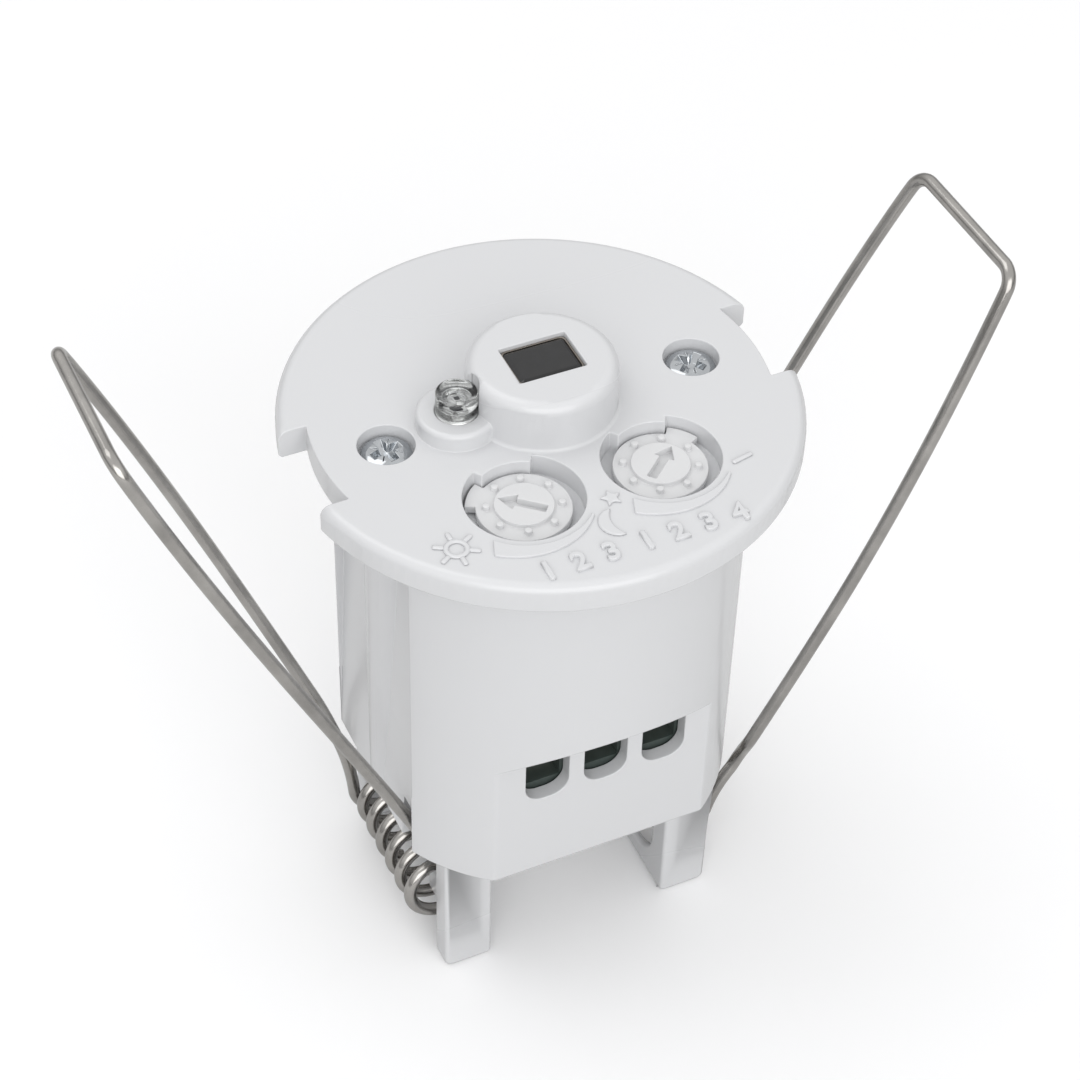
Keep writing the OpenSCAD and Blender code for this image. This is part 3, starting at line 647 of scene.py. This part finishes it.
class SENSOR_OT_dials(bpy.types.Operator):
    """Two setting dials with grip pegs and arrow slots"""

    bl_idname = "sensor.dials"
    bl_label = "Dials"

    def execute(self, context):
        edge = context.scene.sensor_shell.edge * 0.6
        for node in ("lux_dial", "time_dial"):
            make_shell(node, node + "_cap", "dial_plastic", edge)
        return {"FINISHED"}


# Raised marks

MARK_SUNK = 0.1 * MM
MARK_SEGMENTS = 3
MARK_SHARP = math.radians(40)
SUN = Vector((-18.3, -18.3)) * MM
MOON_OUTER = Vector((-0.66, -21.3)) * MM
MOON_INNER = Vector((1.8, -21.3)) * MM
STAR = Vector((0.25, -17.7)) * MM
TICK = (Vector((15.0, -17.9)) * MM, Vector((17.7, -17.35)) * MM)
NUMERALS = {"left_numerals": ("1 2 3", (-7.0 * MM, -26.4 * MM)),
            "right_numerals": ("1 2 3 4", (6.5 * MM, -26.4 * MM))}


def scale_outline(marks, centre):
    """Tapered band round a dial, wide at its start and pointed at its end."""
    point = 0.32 * MM
    lean = math.radians(7)
    steps = 40
    inner, outer = [], []
    for i in range(steps + 1):
        part = i / steps
        turn = marks.arc_from + (marks.arc_to - marks.arc_from) * part
        width = marks.arc_w * (1 - part) + point
        slant = lean * (1 - part)
        for ring, radius, at in ((inner, marks.arc_r, turn), (outer, marks.arc_r + width, turn + slant)):
            ring.append((centre[0] + radius * math.cos(at), centre[1] + radius * math.sin(at)))
    return inner + outer[::-1]


def standing(name, outline, marks):
    """A sharp-edged mark that stands on the faceplate and is sunk a little into it."""
    bm = prism(outline, PLATE_TOP - MARK_SUNK, PLATE_TOP + marks.height)
    return new_piece(name, bm, "white_plastic")


def raised(name, outline, marks, softness=1.0):
    """A mark that stands on the faceplate, with a soft upper edge."""
    return soften(standing(name, outline, marks), marks.edge * softness, MARK_SEGMENTS, MARK_SHARP)


def bar_outline(start, end, width):
    """Straight bar between two points."""
    side = (end - start).normalized().orthogonal() * width / 2
    return [start - side, end - side, end + side, start + side]


def sun_mark(marks):
    """Ring with six rays, which start inside the ring so that no gap shows."""
    lap = 0.1 * MM
    ring = standing("sun_ring", circle_outline(SUN, marks.sun_r, 48), marks)
    inside = circle_outline(SUN, marks.sun_r - marks.stroke, 40)
    carve(ring, [new_piece("sun_hole", prism(inside, PLATE_TOP - MM, PLATE_TOP + MM))])
    soften(ring, marks.edge, MARK_SEGMENTS, MARK_SHARP)
    rays = []
    for k in range(6):
        turn = math.radians(31) + k * math.tau / 6
        way = Vector((math.cos(turn), math.sin(turn)))
        ray = bar_outline(SUN + way * (marks.sun_r - lap), SUN + way * marks.ray_r, marks.stroke)
        rays.append(raised("sun_ray", ray, marks))
    return joined("sun_mark", [ring] + rays, "white_plastic")


def star_outline():
    """Five-pointed star with one point towards +y."""
    tip_r, notch_r = 1.35 * MM, 0.62 * MM
    points = []
    for k, radius in enumerate([tip_r, notch_r] * 5):
        turn = math.radians(90 + 36 * k)
        points.append(STAR + Vector((math.cos(turn), math.sin(turn))) * radius)
    return points


def moon_outline():
    """Crescent between two arcs that share their tips."""
    tip = 2.1 * MM
    outer_r, inner_r = 2.19 * MM, 3.14 * MM
    outer_turn, inner_turn = math.asin(tip / outer_r), math.asin(tip / inner_r)
    outer = arc_points(MOON_OUTER, outer_r, math.pi - outer_turn, math.pi + outer_turn, 24)
    inner = arc_points(MOON_INNER, inner_r, math.pi + inner_turn, math.pi - inner_turn, 24)
    return outer + inner


def numerals(name, text, middle, marks):
    """A row of plain raised numerals."""
    numeral_share = 0.72
    curve = bpy.data.curves.new(name, "FONT")
    curve.body = text
    curve.align_x = "CENTER"
    curve.size = marks.numeral / numeral_share
    curve.space_character = 1.25
    curve.extrude = marks.height * 0.5
    curve.offset = -0.01 * MM
    curve.bevel_depth = marks.edge * 0.7
    curve.bevel_resolution = 2
    source = bpy.data.objects.new(name + "_source", curve)
    bpy.context.scene.collection.objects.link(source)
    graph = bpy.context.evaluated_depsgraph_get()
    mesh = bpy.data.meshes.new_from_object(source.evaluated_get(graph))
    bpy.data.objects.remove(source)
    mesh.transform(Matrix.Translation((middle[0], middle[1], PLATE_TOP + marks.height * 0.35)))
    bm = bmesh.new()
    bm.from_mesh(mesh)
    bmesh.ops.remove_doubles(bm, verts=bm.verts, dist=0.001 * MM)
    return new_piece(name, bm, "white_plastic")


class SENSOR_OT_marks(bpy.types.Operator):
    """Raised scales, sun, moon, star, tick and plain numerals on the faceplate"""

    bl_idname = "sensor.marks"
    bl_label = "Raised marks"

    def execute(self, context):
        marks = context.scene.sensor_marks
        for side, name in ((1, "lux"), (-1, "time")):
            centre = (DIAL_PIVOT.x * side, DIAL_PIVOT.y)
            scale = raised(name + "_scale", scale_outline(marks, centre), marks, softness=0.6)
            wear(scale, "root", "white_plastic")
        wear(sun_mark(marks), "root", "white_plastic")
        wear(raised("moon_mark", moon_outline(), marks), "root", "white_plastic")
        wear(raised("star_mark", star_outline(), marks), "root", "white_plastic")
        wear(raised("tick_mark", bar_outline(*TICK, marks.stroke), marks), "root", "white_plastic")
        for name, (numbers, middle) in NUMERALS.items():
            wear(numerals(name, numbers, middle, marks), "root", "white_plastic")
        return {"FINISHED"}


# Springs

def wire_path(spring, upright):
    """Points along a spring about its axis, from one end of the wire at the coil's middle to the other.

    The outer arm is drawn in and steps aside to clear the foot. An upright one leans out until it has
    stepped aside, so that it looks straight from the camera's side. Parts are shares of an arm's length.
    """
    coil_r, reach = spring.coil_d / 2, spring.bail_l
    draw_part = 0.45 if upright else 0.2
    step_part = 0.09
    late_part = 0.13
    # x * x * (1 - x) is highest at 4 / 27, so this brings the top of a bow to 1
    bow_peak = 27 / 4
    end_gap = math.radians(30)
    coil_steps, arm_steps, bend_steps = 150, 90, 12
    tangent = math.acos(coil_r / reach)
    tip_turn = math.pi / 2 - spring.lean
    draw_turn = math.atan(2 * spring.arm_draw / (draw_part * reach))
    starts = {-1: tip_turn - tangent + draw_turn, 1: tip_turn + tangent}
    wind = math.tau * (spring.turns + 1) + starts[-1] - starts[1]
    half = wind / 2 - end_gap

    def on_coil(turn, y):
        return Vector((coil_r * math.cos(turn), y, coil_r * math.sin(turn)))

    def coil(turned):
        return on_coil(starts[-1] - turned, spring.coil_end * (2 * turned / wind - 1))

    def arm(side, part):
        start = on_coil(starts[side], side * spring.coil_end)
        tip = Vector((reach * math.cos(tip_turn), side * spring.bail_half - spring.bail_set,
                      reach * math.sin(tip_turn)))
        across = tip.y - start.y
        if side < 0:
            step = min(1.0, max(0.0, part / step_part - 1))
            wanted = across * part - 4 * spring.outer_swell * part * (1 - part)
            aside = wanted * step * step * (3 - 2 * step)
            near = max(0.0, 1 - part / draw_part)
            drawn = spring.arm_draw * (1 - part) * (1 - near * near)
            if upright:
                drawn += (wanted - aside) * min(1.0, part / step_part)
        else:
            late = max(0.0, (part - late_part) / (1 - late_part))
            aside = across * late + bow_peak * spring.inner_swell * late * late * (1 - late)
            drawn = 0.0
        along = start + (tip - start) * part
        out = side * bow_peak * spring.bail_bow * part * part * (1 - part) - drawn
        return Vector((along.x + out * math.cos(spring.lean), start.y + aside,
                       along.z - out * math.sin(spring.lean)))

    def bend(side):
        tip = arm(side, 1.0)
        up = (tip - arm(side, 0.9)).normalized()
        across = Vector((0, -side, 0))
        turns = [math.pi / 2 * i / bend_steps for i in range(bend_steps + 1)]
        return [tip - up * spring.bend_r * (1 - math.sin(a)) + across * spring.bend_r * (1 - math.cos(a))
                for a in turns]

    last = 1 - 1.6 * spring.bend_r / reach
    front = [coil(half * i / coil_steps) for i in range(coil_steps, -1, -1)]
    back = [coil(wind - half * i / coil_steps) for i in range(coil_steps, -1, -1)]
    parts = [last * (i / arm_steps) ** 1.3 for i in range(1, arm_steps + 1)]
    up = [arm(-1, part) for part in parts]
    down = [arm(1, part) for part in reversed(parts)]
    return front + up + bend(-1) + bend(1)[::-1] + down + back[::-1]


def wire_tree(material):
    """Node tree that sweeps a round wire along a path and stores how far along and round each point is."""
    tree = bpy.data.node_groups.new("Sweep a wire", "GeometryNodeTree")
    face = tree.interface
    face.new_socket("Geometry", in_out="INPUT", socket_type="NodeSocketGeometry")
    radius = face.new_socket("Wire radius", in_out="INPUT", socket_type="NodeSocketFloat")
    sides = face.new_socket("Sides", in_out="INPUT", socket_type="NodeSocketInt")
    face.new_socket("Geometry", in_out="OUTPUT", socket_type="NodeSocketGeometry")
    add, join = tree.nodes.new, tree.links.new
    start, end = add("NodeGroupInput"), add("NodeGroupOutput")
    to_curve = add("GeometryNodeMeshToCurve")
    along = add("GeometryNodeSplineParameter")
    keep_along = add("GeometryNodeCaptureAttribute")
    keep_along.capture_items.new("FLOAT", "Along")
    around = add("GeometryNodeSplineParameter")
    keep_around = add("GeometryNodeCaptureAttribute")
    keep_around.capture_items.new("FLOAT", "Around")
    ring = add("GeometryNodeCurvePrimitiveCircle")
    sweep = add("GeometryNodeCurveToMesh")
    sweep.inputs["Fill Caps"].default_value = True
    both = add("ShaderNodeCombineXYZ")
    centimetres = add("ShaderNodeMath")
    centimetres.operation = "MULTIPLY"
    centimetres.inputs[1].default_value = 100.0
    store = add("GeometryNodeStoreNamedAttribute")
    store.data_type = "FLOAT_VECTOR"
    store.inputs["Name"].default_value = "wire_uv"
    smooth = add("GeometryNodeSetShadeSmooth")
    real = add("GeometryNodeRealizeInstances")
    finish = add("GeometryNodeSetMaterial")
    finish.inputs["Material"].default_value = material
    join(start.outputs["Geometry"], to_curve.inputs["Mesh"])
    join(to_curve.outputs["Curve"], keep_along.inputs["Geometry"])
    join(along.outputs["Length"], keep_along.inputs[1])
    join(start.outputs["Sides"], ring.inputs["Resolution"])
    join(start.outputs["Wire radius"], ring.inputs["Radius"])
    join(ring.outputs["Curve"], keep_around.inputs["Geometry"])
    join(around.outputs["Factor"], keep_around.inputs[1])
    join(keep_along.outputs["Geometry"], sweep.inputs["Curve"])
    join(keep_around.outputs["Geometry"], sweep.inputs["Profile Curve"])
    join(keep_around.outputs[1], both.inputs["Y"])
    join(keep_along.outputs[1], centimetres.inputs[0])
    join(centimetres.outputs[0], both.inputs["X"])
    join(sweep.outputs["Mesh"], store.inputs["Geometry"])
    join(both.outputs["Vector"], store.inputs["Value"])
    join(store.outputs["Geometry"], smooth.inputs["Geometry"])
    join(smooth.outputs["Geometry"], real.inputs["Geometry"])
    join(real.outputs["Geometry"], finish.inputs["Geometry"])
    join(finish.outputs["Geometry"], end.inputs["Geometry"])
    return tree, radius.identifier, sides.identifier


class SENSOR_OT_springs(bpy.types.Operator):
    """Two wire springs, each one wire with a close coil and a long bail"""

    bl_idname = "sensor.springs"
    bl_label = "Springs"

    def execute(self, context):
        wire_sides = 20
        spring = context.scene.sensor_springs
        tree, radius, sides = wire_tree(paint("spring_steel"))
        for node, turn in (("right_spring", 0.0), ("left_spring", math.pi)):
            points = wire_path(spring, node == "right_spring")
            place = Matrix.Rotation(turn, 4, "Z") @ Matrix.Translation(SPRING_PIVOT)
            mesh = bpy.data.meshes.new(node + "_wire")
            mesh.from_pydata([place @ p for p in points], [(i, i + 1) for i in range(len(points) - 1)], [])
            piece = bpy.data.objects.new(node + "_wire", mesh)
            context.scene.collection.objects.link(piece)
            sweep = piece.modifiers.new("Sweep", "NODES")
            sweep.node_group = tree
            sweep[radius] = spring.wire_d / 2
            sweep[sides] = wire_sides
            settled(piece)
            wear(piece, node, "spring_steel", node)
        return {"FINISHED"}


# Screws

def screw_head(name, centre, radius, low, high, turn):
    """Pan head with a cross recess that narrows downwards and four short marks between its arms."""
    rise = high - low
    side_top = low + rise * 0.2
    deep = high - rise * 0.85
    clear = high + 0.1 * MM
    arm_top, arm_low = radius * 0.72, radius * 0.34
    half_top, half_low = radius * 0.19, radius * 0.19 * 0.7
    turns = [math.radians(7.5 * k) for k in range(1, 12)]
    dome = [(0.0, low), (radius, low), (radius, side_top)]
    dome += [(radius * math.cos(a) ** 0.8, side_top + rise * 0.8 * math.sin(a)) for a in turns]
    dome.append((0.0, high))
    head = new_piece(name, lathe(dome, centre, steps=72), "zinc_steel")
    cutters = []
    for k in range(2):
        floor = box_outline((0, 0), arm_low, half_low)
        arm = prism(floor, deep, clear, box_outline((0, 0), arm_top, half_top))
        arm.transform(Matrix.Translation((*centre, 0)) @ Matrix.Rotation(turn + k * math.pi / 2, 4, "Z"))
        cutters.append(new_piece(name + "_arm", arm))
    core = [(0.0, deep - rise * 0.12), (radius * 0.22, deep), (radius * 0.36, clear), (0.0, clear)]
    cutters.append(new_piece(name + "_core", lathe(core, centre, steps=24)))
    for k in range(4):
        way = turn + math.pi / 4 + k * math.pi / 2
        out = Vector((math.cos(way), math.sin(way))) * radius
        line = bar_outline(Vector(centre) + out * 0.3, Vector(centre) + out * 0.62, 0.14 * MM)
        cutters.append(new_piece(name + "_line", prism(line, high - rise * 0.16, clear)))
    carve(head, cutters)
    return soften(head, 0.05 * MM, sharp=math.radians(30))


class SENSOR_OT_face_screws(bpy.types.Operator):
    """Two bright screws that hold the faceplate"""

    bl_idname = "sensor.face_screws"
    bl_label = "Face screws"

    def execute(self, context):
        head_r = 3.0 * MM
        solid_head_r = 2.8 * MM
        shank_r = 1.3 * MM
        tip_r = 0.9 * MM
        top = SCREWS_HIGH.z - 0.4 * MM
        seat = SCREWS_HIGH.z - 1.7 * MM
        shank_top = seat + 0.1 * MM
        tip = SCREWS_LOW.z
        x = SCREWS_HIGH.x - solid_head_r
        shank = [(0.0, tip), (tip_r, tip), (shank_r, tip + 0.5 * MM), (shank_r, shank_top)]
        shank.append((0.0, shank_top))
        screws = []
        for side, turn in ((-1, 12), (1, 38)):
            screws.append(screw_head("head", (side * x, 0.0), head_r, seat, top, math.radians(turn)))
            screws.append(new_piece("shank", lathe(shank, (side * x, 0.0), steps=32)))
        piece = joined("face_screw_pair", screws, "zinc_steel")
        wear(piece, "root", "zinc_steel", "face_screws")
        return {"FINISHED"}


# Motion sensor

class SENSOR_OT_motion_sensor(bpy.types.Operator):
    """Nickel can with a thin neck, and the dark filter with its ground edges"""

    bl_idname = "sensor.motion_sensor"
    bl_label = "Motion sensor"

    def execute(self, context):
        make_shell("pir_sensor", "pir_can", "can_metal", 0.12 * MM)
        top = PLATE_HIGH.z
        half = (GLASS_HIGH - GLASS_LOW) / 2
        wall = 0.2 * MM
        gap = 0.03 * MM
        neck_top = top - 0.5 * MM
        glass_rim = top - 0.62 * MM
        ground_w, ground_rise = 0.5 * MM, 0.26 * MM
        outside = rounded_box(half.x + wall, half.y + wall, 0.7 * MM)
        inside = rounded_box(half.x, half.y, 0.6 * MM)
        neck = new_piece("can_neck", prism(outside, CAN_HIGH.z - 0.1 * MM, neck_top), "can_metal")
        carve(neck, [new_piece("neck_hole", prism(inside, CAN_HIGH.z - MM, top + MM))])
        soften(neck, 0.06 * MM)
        wear(neck, "root", "can_metal")
        plate = prism(rounded_box(half.x - gap, half.y - gap, 0.5 * MM), GLASS_LOW.z, glass_rim)
        lid = max(plate.faces, key=lambda face: face.calc_center_median().z)
        bmesh.ops.inset_region(plate, faces=[lid], thickness=ground_w, depth=0.0)
        bmesh.ops.translate(plate, verts=lid.verts, vec=(0, 0, ground_rise))
        glass = new_piece("filter_plate", plate, "dark_filter")
        wear(glass, "root", "dark_filter", "filter_window")
        return {"FINISHED"}


# Light sensor

def resin_outline(flange_r, body_r, base, top):
    """Turned profile of the clear body: flange, straight side, round edge and a shallow dish on top."""
    edge = 0.22 * MM
    flange_top = base + 0.8 * MM
    outline = [(0.0, base), (flange_r, base), (flange_r, flange_top), (body_r, flange_top)]
    outline += arc_points((body_r - edge, top - edge), edge, 0, math.pi / 2, 6)
    outline += [(body_r * 0.8, top), (body_r * 0.74, top - 0.14 * MM), (body_r * 0.35, top - 0.4 * MM)]
    outline.append((0.0, top - 0.48 * MM))
    return outline


def lead_frame(centre, body_r, base, bowl_z, top):
    """Bowl, plug, two posts with their leads, and the pad that carries the chip."""
    thick = 0.15 * MM
    plug_r = body_r + 0.09 * MM
    plug_top = PLATE_TOP + 2.2 * MM
    lead_half, lead_l = 0.25 * MM, 7.6 * MM
    half_pitch = 1.27 * MM
    post_half_x, post_half_y = 0.55 * MM, 0.22 * MM
    pad_half = 0.62 * MM
    plug = [(0.0, base + MM), (plug_r, base + MM), (plug_r, plug_top - 0.15 * MM),
            (body_r - 0.1 * MM, plug_top), (body_r - 0.14 * MM, bowl_z), (0.0, bowl_z)]
    bowl = [(0.0, bowl_z), (1.5 * MM, bowl_z), (2.12 * MM, bowl_z + 0.85 * MM),
            (2.0 * MM, bowl_z + 0.9 * MM), (1.4 * MM, bowl_z + thick), (0.0, bowl_z + thick)]
    metal = [new_piece("bowl", lathe(bowl, centre, steps=48))]
    metal.append(new_piece("plug", lathe(plug, centre, steps=48)))
    for side in (-1, 1):
        foot = (centre[0], centre[1] + side * half_pitch)
        lead = prism(box_outline(foot, lead_half, lead_half), base - lead_l, bowl_z + 0.05 * MM)
        post = prism(box_outline(foot, post_half_x, post_half_y), bowl_z + 0.1 * MM, top - 1.5 * MM)
        metal += [new_piece("post", lead), new_piece("post", post)]
    pad = prism(box_outline(centre, pad_half, pad_half), bowl_z + 0.1 * MM, top - 1.75 * MM)
    metal.append(new_piece("pad", pad))
    return joined("light_sensor_leads", metal, "lead_silver")


class SENSOR_OT_light_sensor(bpy.types.Operator):
    """Clear light sensor with its lead frame and chip seen through the resin"""

    bl_idname = "sensor.light_sensor"
    bl_label = "Light sensor"

    def execute(self, context):
        centre = ((LAMP_LOW.x + LAMP_HIGH.x) / 2, (LAMP_LOW.y + LAMP_HIGH.y) / 2)
        flange_r = (LAMP_HIGH.x - LAMP_LOW.x) / 2
        flange_w = 0.25 * MM
        body_r = flange_r - flange_w
        top = LAMP_HIGH.z
        base = PLATE_TOP - 1.6 * MM
        bowl_z = top - 2.5 * MM
        chip_half = 0.34 * MM
        sharp = math.radians(40)
        body = lathe(resin_outline(flange_r, body_r, base, top), centre, steps=72)
        resin = new_piece("light_sensor_resin", body, "clear_resin")
        for face in resin.data.polygons:
            face.use_smooth = True
        wear(resin, "root", "clear_resin", "light_sensor")
        leads = lead_frame(centre, body_r, base, bowl_z, top)
        soften(leads, 0.05 * MM, sharp=sharp)
        wear(leads, "root", "can_metal")
        block = prism(box_outline(centre, chip_half, chip_half), top - 1.76 * MM, top - 1.6 * MM)
        chip = new_piece("light_sensor_chip", block, "chip_dark")
        soften(chip, 0.03 * MM, sharp=sharp)
        wear(chip, "root", "black_plastic")
        return {"FINISHED"}


# Inside

class SENSOR_OT_inside(bpy.types.Operator):
    """Finish of the terminals, boards and inner parts"""

    bl_idname = "sensor.inside"
    bl_label = "Inner parts"

    def execute(self, context):
        slots = {part["node"]: part["material_slot"] for part in frame["record"]["subparts"]}
        for node, piece in frame["nodes"].items():
            for place in piece.material_slots:
                place.material = paint(slots[node])
        return {"FINISHED"}


# Stage

def soft_light(name, place, target, size, power):
    """Flat soft light that faces a target."""
    data = bpy.data.lights.new(name, "AREA")
    data.shape = "RECTANGLE"
    data.size, data.size_y = size
    data.energy = power
    light = bpy.data.objects.new(name, data)
    light.location = place
    light.rotation_mode = "QUATERNION"
    light.rotation_quaternion = (Vector(target) - Vector(place)).to_track_quat("-Z", "Y")
    bpy.context.scene.collection.objects.link(light)


def studio_sky(tree, strength):
    """White backdrop to the camera, and a light that falls on the object mainly from overhead."""
    low_rise, high_rise = 0.05, 0.55
    low_light, high_light = 0.42 * strength, 1.2 * strength
    add, join = tree.nodes.new, tree.links.new
    seen = tree.nodes["Background"]
    seen.inputs["Color"].default_value = (1.0, 1.0, 1.0, 1.0)
    seen.inputs["Strength"].default_value = 1.0
    light = add("ShaderNodeBackground")
    place, split, rise = add("ShaderNodeTexCoord"), add("ShaderNodeSeparateXYZ"), add("ShaderNodeMapRange")
    rise.inputs["From Min"].default_value = low_rise
    rise.inputs["From Max"].default_value = high_rise
    rise.inputs["To Min"].default_value = low_light
    rise.inputs["To Max"].default_value = high_light
    path, mix = add("ShaderNodeLightPath"), add("ShaderNodeMixShader")
    join(place.outputs["Generated"], split.inputs["Vector"])
    join(split.outputs["Z"], rise.inputs["Value"])
    join(rise.outputs["Result"], light.inputs["Strength"])
    join(path.outputs["Is Camera Ray"], mix.inputs["Fac"])
    join(light.outputs["Background"], mix.inputs[1])
    join(seen.outputs["Background"], mix.inputs[2])
    join(mix.outputs["Shader"], tree.nodes["World Output"].inputs["Surface"])


def lay_floor():
    """Large flat floor just under the feet."""
    half, drop = 3.0, 0.02 * MM
    bm = bmesh.new()
    bmesh.ops.create_grid(bm, x_segments=1, y_segments=1, size=half)
    floor = new_piece("studio_floor", bm)
    floor.data.materials.append(floor_paint("Studio floor"))
    floor.data.transform(Matrix.Translation((0, 0, -drop)))


def place_camera(stage):
    """Camera at its place, turned by its three angles."""
    back = Vector((math.sin(stage.azimuth) * math.cos(stage.elevation),
                   -math.cos(stage.azimuth) * math.cos(stage.elevation), math.sin(stage.elevation)))
    right = Vector((math.cos(stage.azimuth), math.sin(stage.azimuth), 0))
    up = back.cross(right)
    across = right * math.cos(stage.roll) + up * math.sin(stage.roll)
    upward = up * math.cos(stage.roll) - right * math.sin(stage.roll)
    lens = bpy.data.cameras.new("Camera")
    lens.lens = stage.focal
    lens.sensor_width = 36
    lens.clip_start, lens.clip_end = 0.01, 20
    camera = bpy.data.objects.new("Camera", lens)
    turn = Matrix((across, upward, back)).transposed().to_4x4()
    camera.matrix_world = Matrix.Translation(stage.eye) @ turn
    bpy.context.scene.collection.objects.link(camera)
    bpy.context.scene.camera = camera


class SENSOR_OT_stage(bpy.types.Operator):
    """Pale floor, soft light and the camera"""

    bl_idname = "sensor.stage"
    bl_label = "Stage"

    def execute(self, context):
        stage = context.scene.sensor_stage
        context.scene.view_settings.view_transform = "Standard"
        lay_floor()
        world = bpy.data.worlds.new("Studio")
        context.scene.world = world
        world.use_nodes = True
        studio_sky(world.node_tree, stage.daylight)
        middle = (0.0, 0.0, 0.05)
        overhead, in_front = (-0.25, 0.25, 0.75), (-0.2, -0.85, 0.5)
        soft_light("Key", overhead, middle, (0.5, 0.5), stage.key)
        soft_light("Front", in_front, middle, (1.2, 0.8), stage.front)
        place_camera(stage)
        return {"FINISHED"}


STEPS = [SENSOR_OT_stage, SENSOR_OT_inside, SENSOR_OT_faceplate, SENSOR_OT_housing, SENSOR_OT_dials,
         SENSOR_OT_marks, SENSOR_OT_face_screws, SENSOR_OT_motion_sensor, SENSOR_OT_light_sensor,
         SENSOR_OT_springs]


class SENSOR_PT_panel(bpy.types.Panel):
    """Lists the steps that build the sensor"""

    bl_idname = "SENSOR_PT_panel"
    bl_label = "Motion Sensor"
    bl_space_type = "VIEW_3D"
    bl_region_type = "UI"
    bl_category = "Motion Sensor"

    def draw(self, context):
        for step in STEPS:
            self.layout.operator(step.bl_idname)


def register():
    """Adds the settings, the steps and the panel."""
    for group in SETTINGS.values():
        bpy.utils.register_class(group)
    for name, group in SETTINGS.items():
        setattr(bpy.types.Scene, name, bpy.props.PointerProperty(type=group))
    for step in STEPS + [SENSOR_PT_panel]:
        bpy.utils.register_class(step)


def unregister():
    """Takes out what register added."""
    for step in reversed(STEPS + [SENSOR_PT_panel]):
        bpy.utils.unregister_class(step)
    for name, group in SETTINGS.items():
        delattr(bpy.types.Scene, name)
        bpy.utils.unregister_class(group)


def main():
    """Takes every step."""
    register()
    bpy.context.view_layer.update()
    for step in STEPS:
        group, name = step.bl_idname.split(".")
        getattr(getattr(bpy.ops, group), name)()


if __name__ == "__main__":
    main()
